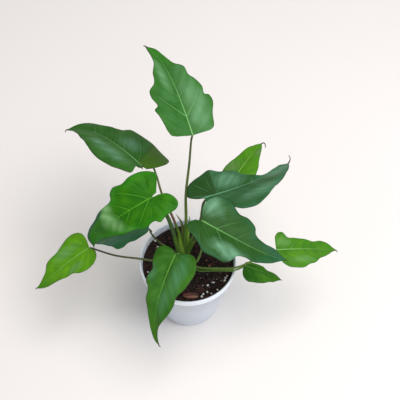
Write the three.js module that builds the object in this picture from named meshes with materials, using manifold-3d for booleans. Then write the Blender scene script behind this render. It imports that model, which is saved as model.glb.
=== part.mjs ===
// A young winterbourn philodendron in a round white nursery pot.
// Millimetres, +Z up, +X to the right, origin at the middle of the pot's foot.

import * as THREE from 'three';
import { mergeVertices } from 'three/addons/utils/BufferGeometryUtils.js';
import Module from 'manifold-3d';

const wasm = await Module();
wasm.setup();

// Driving dimensions of the pot
const POT_HEIGHT = 95;
const FOOT_RADIUS = 35;
const RIM_RADIUS = 55;
const WALL = 2;
const BASE_THICKNESS = 2.5;
const BAND_HEIGHT = 8.5;
const BAND_STEP = 1.1;
const POT_SIDES = 56;
const DRAIN_COUNT = 6;
const DRAIN_RADIUS = 3.5;
const DRAIN_CIRCLE = 23;
const FOOT_ROUNDING = 1.2;

// Driving dimensions of the soil and what lies on it
const CLEARANCE = 0.3;
const SOIL_LEVEL = 87;
const SOIL_SIDES = 32;
const SOIL_RINGS = 6;
const SOIL_RELIEF = 1.1;
const CRUMB_COUNT = 26;
const CRUMB_SEED = 7;
const CRUMB_REACH = 42;
const CRUMB_SIZE = [1.6, 3.2];
const CHIP_CENTRE = [3, -42];
const CHIP_THICKNESS = 2.4;
const CHIP_TURN = -0.12;
const CHIP_OUTLINE = [
  [-8.6, -2.5], [-5, -4], [3, -3.4], [8.2, -1.4], [8.6, 1.2], [4, 3.4], [-4, 3], [-8, 1.2],
];
const CHIP_REST = 12;

// Driving dimensions of the plant
const CROWN_FOOT = [-4, 6];
const CROWN_RADIUS = 7;
const CROWN_BOTTOM = 62;
const CROWN_SHOULDER = 93;
const CROWN_HEART = 89;
const SHEATH_SWELL = 2.1;
const SHEATH_RADIUS = 3.4;
const SHEATH_TIP_RADIUS = 0.6;
const YOUNG_SHEATHS = [
  [[-4, 6, 88], [-7, 10, 100], [-11, 24, 121]],
  [[-4, 6, 88], [-1, 18, 108], [2, 34, 132]],
  [[-4, 6, 88], [-5, 18, 106], [-7, 31, 122], [-13, 37, 131]],
];
const BLADE_THICKNESS = 0.7;
const BLADE_ROWS = 3;
const MIDRIB_ROUNDING = 2;
const LOBE_LINES = 4;
const VEIN_SLANT = 0.8;
const HOOK_PEAK = 0.75 ** 3 * 0.25;
const NECK_LENGTH = 4;
const STALK_SIDES = 6;
const STALK_STEP = 6;

const COLORS = { pot: 0xe9eaf0, soil: 0x2c2220, bark: 0x7a4a3c, crown: 0x6b7d33, stalk: 0x55662f };

// Each leaf: the blade runs from base (the notch where the stalk joins) to tip. arch lifts the
// midrib's middle above the straight line, sweep moves it to the right, and hook bends the last
// third. roll lowers the right half and twist adds to it towards the tip, in degrees. fold raises
// both halves from the midrib and droop bends them down again, [left, right]. left and right are the
// waved edge, from the notch round the lobe to the tip: [distance along the midrib, distance out].
// stalk is the leaf stalk's way from the crown, radius its [foot, top], and sheath the length of its
// foot that is one with the crown.
const LEAVES = {
  top: {
    base: [6, 67, 232], tip: [-45, 164, 264], arch: 7, sweep: 2, hook: 4, roll: 15, twist: -3,
    fold: [0.23, 0.23], droop: [0.45, 0.45], color: 0x4a8a45,
    left: [[1, 12], [3, 25], [8, 28], [18, 30], [27, 32], [34, 34], [38, 29], [48, 32], [57, 31],
      [64, 23], [77, 18], [89, 10], [98, 7], [107, 4]],
    right: [[2, 9], [2, 22], [5, 27], [18, 30], [30, 35], [37, 33], [39, 28], [48, 29], [58, 25],
      [65, 20], [74, 19], [83, 11], [95, 7], [106, 5]],
    stalk: [[-3, 18, 108], [-2, 33, 130], [-2, 46, 155], [2, 60, 193]], radius: [1.8, 1], sheath: 44,
  },
  upper_left: {
    base: [-53, 64, 190], tip: [-141, 135, 160], arch: 7, sweep: 4, hook: 6, roll: 26, twist: -10,
    fold: [0.24, 0.24], droop: [0.6, 0.75], color: 0x3d6f4e,
    left: [[-12, 2.2], [-6, 8], [-15, 21], [-6, 29], [1, 35], [15, 38], [32, 37], [50, 32], [66, 27],
      [81, 21], [92, 15], [100, 11], [107, 6], [112, 3]],
    right: [[-13, 1.8], [-16, 11], [-15, 26], [-7, 38], [8, 39], [22, 40], [33, 38], [46, 37], [55, 35],
      [60, 26], [69, 20], [83, 17], [98, 18], [108, 13]],
    stalk: [[-8, 18, 108], [-15, 31, 126], [-29, 50, 155], [-34, 60.5, 171.5], [-39, 66, 181.5]],
    radius: [1.5, 0.9], sheath: 44,
  },
  bright_left: {
    base: [-38, 6, 205], tip: [-101, -8, 135], arch: 15, sweep: 1, hook: 3, roll: -25, twist: -8,
    fold: [0.25, 0.25], droop: [0.5, 0.5], color: 0x4f9a2a,
    left: [[-11, 1], [-18, 4], [-23, 11], [-24, 18], [-20, 23], [-7, 25], [1, 28], [5, 24], [16, 25],
      [26, 21], [38, 19], [52, 14], [68, 8], [82, 4]],
    right: [[-9, 2], [-15, 12], [-18, 19], [-14, 24], [-5, 29], [7, 30], [15, 27], [24, 29], [30, 25],
      [33, 19], [49, 16], [64, 12], [79, 11], [91, 8]],
    stalk: [[-11, 14, 102], [-22, 31, 133], [-30, 29, 160], [-37, 19, 187]], radius: [2.5, 1.5],
    sheath: 30,
  },
  shade_left: {
    base: [-42, 6, 150], tip: [-104, 8, 119], arch: 3, sweep: 0, hook: 0, roll: 22, twist: -5,
    fold: [0.22, 0.22], droop: [0.5, 0.5], color: 0x2f5f47,
    left: [[-2, 4], [-1, 11], [4, 16], [9, 21], [16, 22.5], [21, 28], [28, 29], [36, 24], [47, 17],
      [57, 11], [65, 5]],
    right: [[0, 4], [1, 12], [8, 21], [16, 25], [25, 24], [31, 20], [38, 16], [46, 11], [54, 8],
      [61, 5], [66, 2]],
    stalk: [[-14, 9, 96], [-30, 16, 103], [-36, 16, 113], [-41, 12, 134]], radius: [1.3, 0.9],
    sheath: 14,
  },
  upper_right: {
    base: [31, 35, 172], tip: [113, 90, 155], arch: 5, sweep: 9, hook: 0, roll: -10, twist: -30,
    fold: [0.15, 0.15], droop: [0.2, 0.2], color: 0x37644a,
    left: [[-13, 0], [-23, 2], [-30, 7], [-29, 14], [-24, 23], [-11, 29], [3, 36], [16, 32], [33, 29],
      [40, 23], [46, 13], [60, 5], [83, 6], [94, 6]],
    right: [[-14, 2], [-13, 9], [-10, 19], [-7, 24], [-1, 26.5], [9, 29], [15, 36], [26, 41], [33, 38],
      [44, 32], [57, 26], [70, 20], [82, 13], [93, 6]],
    stalk: [[1, 15, 104], [8, 25, 113], [14, 32, 128], [15.7, 35.3, 142], [17.5, 37, 154],
      [23.5, 36.5, 163]],
    radius: [1.6, 1.1], sheath: 26,
  },
  back_right: {
    base: [51, 83, 132], tip: [86, 133, 138], arch: 5, sweep: 1, hook: 0, roll: -5, twist: 0,
    fold: [0.16, 0.16], droop: [0.6, 0.6], color: 0x4f8f3a,
    left: [[-6, 3], [-10, 10], [-5, 16], [7, 18], [18, 16], [30, 13], [39, 11], [49, 8], [56, 4]],
    right: [[-6, 3], [-10, 10], [-5, 18], [6, 20], [19, 19], [27, 17], [36, 12], [46, 8], [55, 4]],
    stalk: [[8, -3, 93], [14, 7, 97], [16, 26, 106], [16, 46, 116], [20, 64, 122], [34, 76, 127]],
    radius: [1.4, 0.9], sheath: 18,
  },
  front_right: {
    base: [16, -8, 185], tip: [104, -32, 147], arch: 5, sweep: 5, hook: 2, roll: 4, twist: 2,
    fold: [0.25, 0.25], droop: [0.4, 0.4], color: 0x3f7a48,
    left: [[-3, 4], [-7, 15], [-6, 24], [0, 32], [10, 35], [17, 35], [24, 30], [32, 26], [44, 27],
      [54, 21], [57, 14], [70, 10], [82, 8], [91, 4]],
    right: [[-7, 3], [-11, 11], [-8, 18], [5, 24], [15, 32], [26, 32], [35, 32], [41, 26], [45, 18],
      [53, 15], [62, 16], [72, 12], [82, 8], [91, 3]],
    stalk: [[2, 11, 102], [9, 13, 118], [14, 7, 145], [16, -2, 168]], radius: [1.8, 1.2], sheath: 24,
  },
  far_right: {
    base: [97, -4, 122], tip: [167, 9, 100], arch: 2, sweep: 0, hook: 0, roll: -7, twist: 0,
    fold: [0.2, 0.2], droop: [0.55, 0.55], color: 0x4a9232,
    left: [[2, 12], [4, 19], [9, 24], [14, 24], [18, 17], [26, 16], [37, 13], [47, 11], [57, 12],
      [65, 8], [71, 3]],
    right: [[-1, 7], [2, 18], [8, 24], [16, 26], [25, 26], [34, 21], [41, 19], [48, 14], [56, 10],
      [63, 6], [69, 2]],
    stalk: [[2, -3, 95], [10, -11, 97], [32, -15, 100.5], [53, -17, 106], [74, -11, 112.5]],
    radius: [1.5, 1], sheath: 18,
  },
  small_right: {
    base: [63, -12, 102], tip: [104, -21, 86], arch: 2, sweep: 1, hook: 0, roll: -15, twist: 0,
    fold: [0.1, 0.1], droop: [0.6, 0.6], color: 0x3f8a2e,
    left: [[0, 5], [4, 8], [10, 9], [19, 8], [27, 5], [33, 5], [38, 4], [42, 2]],
    right: [[-1, 5], [1, 14], [7, 19], [14, 18], [22, 15], [28, 12], [35, 8], [40, 4]],
    stalk: [[2, -4, 92], [10, -12, 92], [32, -15, 96], [52, -16, 98.5]], radius: [1.2, 0.8],
    sheath: 14,
  },
  front: {
    base: [-12, -27, 150], tip: [-30, -102, 89], arch: 8, sweep: 3, hook: 4, roll: 28, twist: -3,
    fold: [0.2, 0.2], droop: [0.65, 0.65], color: 0x3f7d3c,
    left: [[-3, 8], [-6, 18], [-5, 25], [1, 30], [9, 32], [21, 30], [31, 27], [41, 22], [50, 21],
      [60, 18], [70, 12], [79, 5], [88, 2], [94, 1]],
    right: [[-4, 8], [-4, 17], [1, 25], [9, 25], [16, 23], [22, 20], [30, 23], [36, 22], [41, 16],
      [53, 15], [62, 11], [73, 7], [86, 4.5], [94, 3]],
    stalk: [[-7, -1, 100], [-11, -12, 119], [-12, -19, 136]], radius: [1.6, 1.1], sheath: 20,
  },
  far_left: {
    base: [-108, -1, 122], tip: [-167, -34, 90], arch: 4, sweep: -1, hook: -1, roll: 4, twist: 0,
    fold: [0.24, 0.24], droop: [0.4, 0.4], color: 0x4c8f30,
    left: [[-4, 9], [-2, 16], [4, 22], [14, 24], [22, 22], [29, 17], [38, 15], [47, 12], [56, 10],
      [64, 7], [71, 3]],
    right: [[-2, 9], [-1, 20], [5, 25], [14, 26], [24, 23], [33, 18], [42, 18], [50, 16], [56, 8],
      [64, 4], [71, 1]],
    stalk: [[-14, 0, 92], [-31, -4, 96.5], [-50, -4, 102.5], [-80, -5, 112]], radius: [1.4, 0.9],
    sheath: 12,
  },
};

const lerp = THREE.MathUtils.lerp;
const clamp = THREE.MathUtils.clamp;
const radians = THREE.MathUtils.degToRad;

// Solids are joined and cut here, on meshes that hold nothing but shared positions
function toSolid(geometry) {
  const bare = geometry.clone();
  bare.deleteAttribute('normal');
  bare.deleteAttribute('uv');
  const merged = mergeVertices(bare, 1e-4);
  return new wasm.Manifold(new wasm.Mesh({
    numProp: 3,
    vertProperties: new Float32Array(merged.attributes.position.array),
    triVerts: new Uint32Array(merged.index.array),
  }));
}

function fromSolid(solid) {
  const mesh = solid.getMesh();
  const geometry = new THREE.BufferGeometry();
  geometry.setAttribute('position', new THREE.BufferAttribute(new Float32Array(mesh.vertProperties), 3));
  geometry.setIndex(Array.from(mesh.triVerts));
  geometry.computeVertexNormals();
  return geometry;
}

function namedMesh(name, geometry, color, roughness) {
  const material = new THREE.MeshStandardMaterial({ color, roughness, metalness: 0 });
  const mesh = new THREE.Mesh(geometry, material);
  mesh.name = name;
  return mesh;
}

// A small repeatable random number, from 0 to 1
function randomFrom(seed) {
  let state = seed;
  return () => {
    state = (state * 1664525 + 1013904223) % 4294967296;
    return state / 4294967296;
  };
}

// Points in order round a closed body of revolution, as radius and height
function latheFrom(points, sides) {
  const geometry = new THREE.LatheGeometry(points.map(([r, z]) => new THREE.Vector2(r, z)), sides);
  geometry.rotateX(Math.PI / 2);
  return geometry;
}

// The pot's wall tapers from the foot to the band, which stands out from it and carries the lip
const BAND_BOTTOM = POT_HEIGHT - BAND_HEIGHT;
const BAND_RADIUS = RIM_RADIUS - 0.6;
const NECK_RADIUS = BAND_RADIUS - BAND_STEP;

function wallRadius(z) {
  return lerp(FOOT_RADIUS, NECK_RADIUS, z / BAND_BOTTOM);
}

function innerRadius(z) {
  return wallRadius(z) - WALL;
}

function makePot() {
  const profile = [
    [0, 0], [FOOT_RADIUS - FOOT_ROUNDING, 0], [FOOT_RADIUS - 0.1, 0.7], [wallRadius(3), 3],
    [NECK_RADIUS, BAND_BOTTOM], [BAND_RADIUS - 0.2, BAND_BOTTOM + 0.5], [BAND_RADIUS, BAND_BOTTOM + 2],
    [RIM_RADIUS, POT_HEIGHT - 1.4], [RIM_RADIUS - 0.5, POT_HEIGHT - 0.3], [RIM_RADIUS - 1.4, POT_HEIGHT],
    [RIM_RADIUS - 2.3, POT_HEIGHT - 0.4], [innerRadius(BAND_BOTTOM) + 0.9, POT_HEIGHT - 2.5],
    [innerRadius(BAND_BOTTOM), BAND_BOTTOM], [innerRadius(BASE_THICKNESS + 3), BASE_THICKNESS + 3],
    [innerRadius(0) - 2, BASE_THICKNESS], [0, BASE_THICKNESS],
  ];
  let solid = toSolid(latheFrom(profile, POT_SIDES));
  for (let i = 0; i < DRAIN_COUNT; i += 1) {
    const angle = (i / DRAIN_COUNT) * Math.PI * 2;
    const hole = new THREE.CylinderGeometry(DRAIN_RADIUS, DRAIN_RADIUS, BASE_THICKNESS * 3, 12);
    hole.rotateX(Math.PI / 2);
    hole.translate(DRAIN_CIRCLE * Math.cos(angle), DRAIN_CIRCLE * Math.sin(angle), 0);
    solid = solid.subtract(toSolid(hole));
  }
  return namedMesh('pot', fromSolid(solid), COLORS.pot, 0.3);
}

// The soil's surface: low mounds from crossing waves, level where the bark chip lies
function soilHeight(x, y) {
  const waves = Math.sin(x * 0.31 + 1) * Math.cos(y * 0.27) + 0.6 * Math.sin(x * 0.13 - y * 0.19 + 2);
  const toChip = Math.hypot(x - CHIP_CENTRE[0], (y - CHIP_CENTRE[1]) * 1.6);
  const free = clamp((toChip - CHIP_REST) / 5, 0, 1);
  return SOIL_LEVEL + SOIL_RELIEF * 0.6 * waves * free;
}

function soilBody() {
  const bottom = BASE_THICKNESS + CLEARANCE;
  const rim = innerRadius(SOIL_LEVEL) - CLEARANCE * 1.5;
  const profile = [
    [0, bottom], [innerRadius(0) - 2 - CLEARANCE, bottom],
    [innerRadius(bottom + 4) - CLEARANCE * 1.5, bottom + 4], [rim, SOIL_LEVEL],
  ];
  for (let ring = SOIL_RINGS - 1; ring >= 0; ring -= 1) {
    profile.push([(rim * ring) / SOIL_RINGS, SOIL_LEVEL]);
  }
  const geometry = latheFrom(profile, SOIL_SIDES);
  const position = geometry.attributes.position;
  for (let i = 0; i < position.count; i += 1) {
    const x = position.getX(i);
    const y = position.getY(i);
    const onTop = position.getZ(i) > SOIL_LEVEL - 1 && Math.hypot(x, y) < rim - 1;
    if (onTop) position.setZ(i, soilHeight(x, y));
  }
  return toSolid(geometry);
}

function makeSoil() {
  let solid = soilBody();
  const random = randomFrom(CRUMB_SEED);
  for (let i = 0; i < CRUMB_COUNT; i += 1) {
    const angle = random() * Math.PI * 2;
    const reach = CRUMB_REACH * Math.sqrt(random());
    const size = lerp(CRUMB_SIZE[0], CRUMB_SIZE[1], random());
    const x = reach * Math.cos(angle);
    const y = reach * Math.sin(angle);
    const nearCrown = Math.hypot(x - CROWN_FOOT[0], y - CROWN_FOOT[1]) < CROWN_RADIUS * 2;
    const nearChip = Math.hypot(x - CHIP_CENTRE[0], y - CHIP_CENTRE[1]) < CHIP_REST + 2;
    const crumb = new THREE.IcosahedronGeometry(size, 0);
    crumb.rotateX(random() * 3);
    crumb.scale(1.2, 1, 0.7);
    crumb.rotateZ(random() * 3);
    crumb.translate(x, y, soilHeight(x, y));
    if (!nearCrown && !nearChip) solid = solid.add(toSolid(crumb));
  }
  const depth = 2 * (SOIL_LEVEL - CROWN_BOTTOM);
  const hole = new THREE.CylinderGeometry(CROWN_RADIUS + CLEARANCE, CROWN_RADIUS + CLEARANCE, depth, 20);
  hole.rotateX(Math.PI / 2);
  hole.translate(CROWN_FOOT[0], CROWN_FOOT[1], CROWN_BOTTOM - CLEARANCE + depth / 2);
  return namedMesh('soil', fromSolid(solid.subtract(toSolid(hole))), COLORS.soil, 0.95);
}

function makeBarkChip() {
  const outline = new THREE.Shape(CHIP_OUTLINE.map(([x, y]) => new THREE.Vector2(x, y)));
  const geometry = new THREE.ExtrudeGeometry(outline, { depth: CHIP_THICKNESS, bevelEnabled: false });
  geometry.rotateZ(CHIP_TURN);
  const mesh = namedMesh('bark_chip', geometry, COLORS.bark, 0.85);
  mesh.position.set(CHIP_CENTRE[0], CHIP_CENTRE[1], SOIL_LEVEL + CLEARANCE);
  return mesh;
}

// The blade's own directions at its base: forward to the tip, right, and up out of its face
function bladeFrame(leaf) {
  const base = new THREE.Vector3(...leaf.base);
  const tip = new THREE.Vector3(...leaf.tip);
  const forward = tip.clone().sub(base);
  const length = forward.length();
  forward.normalize();
  const level = new THREE.Vector3().crossVectors(forward, new THREE.Vector3(0, 0, 1)).normalize();
  const right = level.applyAxisAngle(forward, radians(leaf.roll));
  const up = new THREE.Vector3().crossVectors(right, forward);
  const middle = base.clone().add(tip).multiplyScalar(0.5);
  middle.addScaledVector(up, leaf.arch * 2).addScaledVector(right, leaf.sweep * 2);
  const midrib = new THREE.QuadraticBezierCurve3(base, middle, tip);
  return { length, right, up, midrib };
}

// A point of the blade's middle surface, x along the midrib and y out to the right
function bladePoint(leaf, frame, x, y) {
  const t = clamp(x / frame.length, 0, 1);
  const tangent = frame.midrib.getTangent(t);
  const across = frame.right.clone().applyAxisAngle(tangent, radians(leaf.twist * t));
  across.addScaledVector(tangent, -across.dot(tangent)).normalize();
  const outward = new THREE.Vector3().crossVectors(across, tangent);
  const half = y < 0 ? 0 : 1;
  const rise = leaf.fold[half] * (Math.hypot(y, MIDRIB_ROUNDING) - MIDRIB_ROUNDING);
  const sag = (leaf.droop[half] * y * y) / frame.length;
  const hook = (leaf.hook * t ** 3 * (1 - t)) / HOOK_PEAK;
  const point = frame.midrib.getPoint(t).addScaledVector(tangent, Math.min(x, 0));
  return point.addScaledVector(across, y + hook).addScaledVector(outward, rise - sag);
}

// Where each line of the mesh leaves the midrib, the same for both halves: all lines to the lobe
// start at the notch, and the rest leave further and further along
function veinFeet(leaf, length) {
  const count = leaf.left.length;
  const feet = [];
  for (let i = 0; i < count; i += 1) {
    const along = (leaf.left[i][0] + leaf.right[i][0]) / 2;
    const out = (leaf.left[i][1] + leaf.right[i][1]) / 2;
    feet.push(i < LOBE_LINES ? 0 : Math.max(feet[i - 1], along - out * VEIN_SLANT));
  }
  return [...feet, length];
}

// The middle surface as triangles, with both halves meeting on the midrib
function bladeSurface(leaf, frame) {
  const feet = veinFeet(leaf, frame.length);
  const corners = [];
  [[-1, leaf.left], [1, leaf.right]].forEach(([side, edge]) => {
    const margin = [...edge, [frame.length, 0]];
    const columns = margin.map(([mx, my], k) => {
      const points = [];
      for (let row = 0; row <= BLADE_ROWS; row += 1) {
        const share = row / BLADE_ROWS;
        points.push(bladePoint(leaf, frame, lerp(feet[k], mx, share), side * my * share));
      }
      return points;
    });
    for (let k = 0; k + 1 < columns.length; k += 1) {
      for (let row = 0; row < BLADE_ROWS; row += 1) {
        const quad = [columns[k][row], columns[k][row + 1], columns[k + 1][row + 1], columns[k + 1][row]];
        if (side < 0) quad.reverse();
        corners.push(quad[0], quad[1], quad[2], quad[0], quad[2], quad[3]);
      }
    }
  });
  const merged = mergeVertices(new THREE.BufferGeometry().setFromPoints(corners), 1e-3);
  const index = Array.from(merged.index.array);
  const kept = [];
  for (let i = 0; i < index.length; i += 3) {
    const [a, b, c] = index.slice(i, i + 3);
    if (a !== b && b !== c && c !== a) kept.push(a, b, c);
  }
  merged.setIndex(kept);
  merged.computeVertexNormals();
  return merged;
}

// Gives an open surface its thickness: both faces are split alike and the edge is closed
function thicken(surface, thickness) {
  const position = surface.attributes.position;
  const normal = surface.attributes.normal;
  const count = position.count;
  const coords = [];
  [0.5, -0.5].forEach((share) => {
    for (let i = 0; i < count; i += 1) {
      const point = new THREE.Vector3().fromBufferAttribute(position, i);
      const away = new THREE.Vector3().fromBufferAttribute(normal, i);
      coords.push(...point.addScaledVector(away, thickness * share).toArray());
    }
  });
  const top = Array.from(surface.index.array);
  const faces = [...top];
  const open = new Map();
  for (let i = 0; i < top.length; i += 3) {
    faces.push(top[i] + count, top[i + 2] + count, top[i + 1] + count);
    for (let j = 0; j < 3; j += 1) {
      const from = top[i + j];
      const to = top[i + ((j + 1) % 3)];
      if (open.has(`${to} ${from}`)) open.delete(`${to} ${from}`);
      else open.set(`${from} ${to}`, [from, to]);
    }
  }
  open.forEach(([from, to]) => {
    faces.push(from, from + count, to + count, from, to + count, to);
  });
  const geometry = new THREE.BufferGeometry();
  geometry.setAttribute('position', new THREE.Float32BufferAttribute(coords, 3));
  geometry.setIndex(faces);
  geometry.computeVertexNormals();
  return geometry;
}

function makeBlade(name, leaf) {
  const geometry = thicken(bladeSurface(leaf, bladeFrame(leaf)), BLADE_THICKNESS);
  return namedMesh(`leaf_${name}`, geometry, leaf.color, 0.4);
}

// A stretch of a longer curve, between two lengths measured along it
class CurveStretch extends THREE.Curve {
  constructor(whole, from, to) {
    super();
    this.whole = whole;
    this.from = from / whole.getLength();
    this.to = to / whole.getLength();
  }

  getPoint(t, target = new THREE.Vector3()) {
    return this.whole.getPointAt(lerp(this.from, this.to, t), target);
  }
}

// The stalk's way, from inside the crown up to just under the notch of the blade
function stalkCurve(leaf) {
  const frame = bladeFrame(leaf);
  const base = new THREE.Vector3(...leaf.base);
  const forward = frame.midrib.getTangent(0);
  const up = new THREE.Vector3().crossVectors(frame.right, forward).normalize();
  const neck = base.clone().addScaledVector(up, -NECK_LENGTH).addScaledVector(forward, -NECK_LENGTH / 2);
  const start = new THREE.Vector3(CROWN_FOOT[0], CROWN_FOOT[1], CROWN_HEART);
  const way = leaf.stalk.map((point) => new THREE.Vector3(...point));
  const curveTo = (end) => new THREE.CatmullRomCurve3([start, ...way, neck, end], false, 'centripetal');
  const slant = curveTo(base).getTangent(1).cross(up).length();
  const below = BLADE_THICKNESS / 2 + CLEARANCE + leaf.radius[1] * slant;
  return curveTo(base.clone().addScaledVector(up, -below));
}

// A round stem along a curve that tapers from one radius to another
function taperedStem(curve, from, to) {
  const steps = Math.max(3, Math.round(curve.getLength() / STALK_STEP));
  const section = new THREE.Shape();
  for (let i = 0; i < STALK_SIDES; i += 1) {
    const angle = (i / STALK_SIDES) * Math.PI * 2;
    if (i === 0) section.moveTo(Math.cos(angle), Math.sin(angle));
    else section.lineTo(Math.cos(angle), Math.sin(angle));
  }
  const geometry = new THREE.ExtrudeGeometry(section, { steps, extrudePath: curve, bevelEnabled: false });
  const centres = curve.getSpacedPoints(steps);
  const position = geometry.attributes.position;
  for (let i = 0; i < position.count; i += 1) {
    const point = new THREE.Vector3().fromBufferAttribute(position, i);
    const distances = centres.map((centre) => Math.abs(centre.distanceTo(point) - 1));
    const ring = distances.indexOf(Math.min(...distances));
    const radius = lerp(from, to, ring / steps);
    point.sub(centres[ring]).multiplyScalar(radius).add(centres[ring]);
    position.setXYZ(i, point.x, point.y, point.z);
  }
  return geometry;
}

function makeStalk(name, leaf) {
  const whole = stalkCurve(leaf);
  const stretch = new CurveStretch(whole, leaf.sheath + CLEARANCE, whole.getLength());
  return namedMesh(`petiole_${name}`, taperedStem(stretch, ...leaf.radius), COLORS.stalk, 0.5);
}

// The crown: a short stem in the soil with the stalks' sheathing feet grown out of it, and pointed
// young sheaths between them
function makeCrown() {
  const core = latheFrom([
    [0, CROWN_BOTTOM], [CROWN_RADIUS * 0.6, CROWN_BOTTOM + 1], [CROWN_RADIUS, CROWN_BOTTOM + 7],
    [CROWN_RADIUS, CROWN_SHOULDER - 5], [CROWN_RADIUS * 0.75, CROWN_SHOULDER], [0, CROWN_SHOULDER + 3],
  ], 14);
  core.translate(CROWN_FOOT[0], CROWN_FOOT[1], 0);
  let solid = toSolid(core);
  Object.values(LEAVES).forEach((leaf) => {
    const stretch = new CurveStretch(stalkCurve(leaf), 0, leaf.sheath);
    solid = solid.add(toSolid(taperedStem(stretch, leaf.radius[0] * SHEATH_SWELL, leaf.radius[0] * 1.05)));
  });
  YOUNG_SHEATHS.forEach((way) => {
    const curve = new THREE.CatmullRomCurve3(way.map((point) => new THREE.Vector3(...point)));
    solid = solid.add(toSolid(taperedStem(curve, SHEATH_RADIUS, SHEATH_TIP_RADIUS)));
  });
  return namedMesh('crown', fromSolid(solid), COLORS.crown, 0.5);
}

const group = new THREE.Group();
group.add(makePot(), makeSoil(), makeBarkChip(), makeCrown());
Object.entries(LEAVES).forEach(([name, leaf]) => {
  group.add(makeStalk(name, leaf), makeBlade(name, leaf));
});

export default group;
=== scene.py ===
# The looks of a young winterbourn philodendron in a round white nursery pot.
# Shapes are worked out in millimetres, +Z up and +X to the right, with the origin at the middle
# of the pot's foot, and become metres when a mesh is made.

import math
import random

import bpy
from mathutils import Matrix, Vector, noise


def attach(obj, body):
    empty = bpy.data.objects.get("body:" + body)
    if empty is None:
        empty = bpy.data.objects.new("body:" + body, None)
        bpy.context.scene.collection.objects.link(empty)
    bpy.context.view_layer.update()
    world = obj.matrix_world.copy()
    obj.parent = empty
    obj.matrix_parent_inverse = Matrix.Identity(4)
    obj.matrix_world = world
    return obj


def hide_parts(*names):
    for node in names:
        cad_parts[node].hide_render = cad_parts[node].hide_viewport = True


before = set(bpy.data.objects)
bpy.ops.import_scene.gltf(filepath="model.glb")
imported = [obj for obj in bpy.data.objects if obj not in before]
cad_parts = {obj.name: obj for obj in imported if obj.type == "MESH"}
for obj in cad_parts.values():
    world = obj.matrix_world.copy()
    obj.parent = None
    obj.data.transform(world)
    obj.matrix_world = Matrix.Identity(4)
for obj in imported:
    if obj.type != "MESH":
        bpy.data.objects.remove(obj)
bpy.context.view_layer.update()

# Metres in a millimetre, and millimetres in a centimetre
MM = 0.001
CM = 10

# The camera looks down at the plant from the front
CAMERA_PLACE = (13.5, -478, 886)
CAMERA_TILT = 54.7
CAMERA_LENS = 73.8
CAMERA_SENSOR = 36

# Each light's place, what it faces and its width in metres, its power in watts and its colour
LIGHTS = {
    "window": ((0.55, -0.15, 1.9), (0, 0, 0.1), 1.6, 28.5, 0xfffaf4),
    "sky_panel": ((1.3, -0.5, 0.9), (0, 0, 0.12), 0.8, 8, 0xd8e6ff),
}
ROOM_COLOUR = 0xeef3ff
ROOM_STRENGTH = 0.5
FLOOR_REACH = 4

# The pot. Its heights and radii are those of the solids. Its roundings and sides are finer here.
POT_HEIGHT = 95
FOOT_RADIUS = 35
RIM_RADIUS = 55
WALL = 2
BASE_THICKNESS = 2.5
BAND_HEIGHT = 8.5
BAND_STEP = 1.1
EDGE_ROUNDING = 1.2
BAND_ROUNDING = 0.6
POT_SIDES = 160
SHARP_ANGLE = 40
DRAIN_COUNT = 6
DRAIN_RADIUS = 3.5
DRAIN_CIRCLE = 23
DRAIN_SIDES = 28
BAND_BOTTOM = POT_HEIGHT - BAND_HEIGHT
BAND_RADIUS = RIM_RADIUS - 0.6
NECK_RADIUS = BAND_RADIUS - BAND_STEP

# The soil and what lies on it
SOIL_LEVEL = 87
SOIL_RELIEF = 1.1
SOIL_GAP = 0.3
SOIL_RINGS = 44
SOIL_SIDES = 150
LUMP_SIZE = 5
LUMP_HEIGHT = 1.1
PATCH_REACH = 52
PATCH_STEP = 2
RIM_CLEARANCE = 2.6
CHIP_CENTRE = (3, -42)
CHIP_THICKNESS = 2.4
CHIP_TURN = -0.12
CHIP_REST = 12
CHIP_CLEARANCE = (10, 5.5)
CHIP_SIDES = 56
CHIP_OUTLINE = [
    (-8.6, -2.5), (-5, -4), (3, -3.4), (8.2, -1.4), (8.6, 1.2), (4, 3.4), (-4, 3), (-8, 1.2),
]
# From the middle of the chip's top, over its edge and back under it: (share of the way out, share
# of the thickness)
CHIP_RINGS = [
    (0, 1), (0.35, 1), (0.65, 1), (0.85, 0.96), (0.96, 0.8), (1, 0.5), (0.97, 0.15), (0.9, 0), (0, 0),
]
PERLITE_PLACES = [
    (-35, 21), (-45, -12), (2, 27), (22, -29), (28, -25), (42, -20), (41, -23), (44, -17),
    (21.5, -37), (17, -40), (15.5, -43), (33, -35), (26, -39), (-20, -38), (-38, 30),
]
BARK_CRUMB_PLACES = [
    (21, 3), (25, 7), (17, -1), (29, 1), (24, -4), (33, 8), (-30, 14), (-22, 33), (12, -30), (36, -12),
]
DUST_SEED = 12
DUST_COUNT = 12
DUST_AREA = ((8, 46), (-4, 34))
DUST_LIMIT = 49
GRAIN_DENSITY = 900000.0
GRAIN_RELIEF = 620.0
ROOTLETS = [
    [(-34, 29, 89), (-33, 26, 90), (-31, 24, 89.4), (-30, 21, 88.4)],
    [(30, -14, 88.2), (33, -19, 89.4), (38, -22, 89.2), (41, -28, 88)],
    [(6, -31, 88.2), (10, -34, 89), (15, -33, 89.2), (19, -35, 88)],
]

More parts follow.
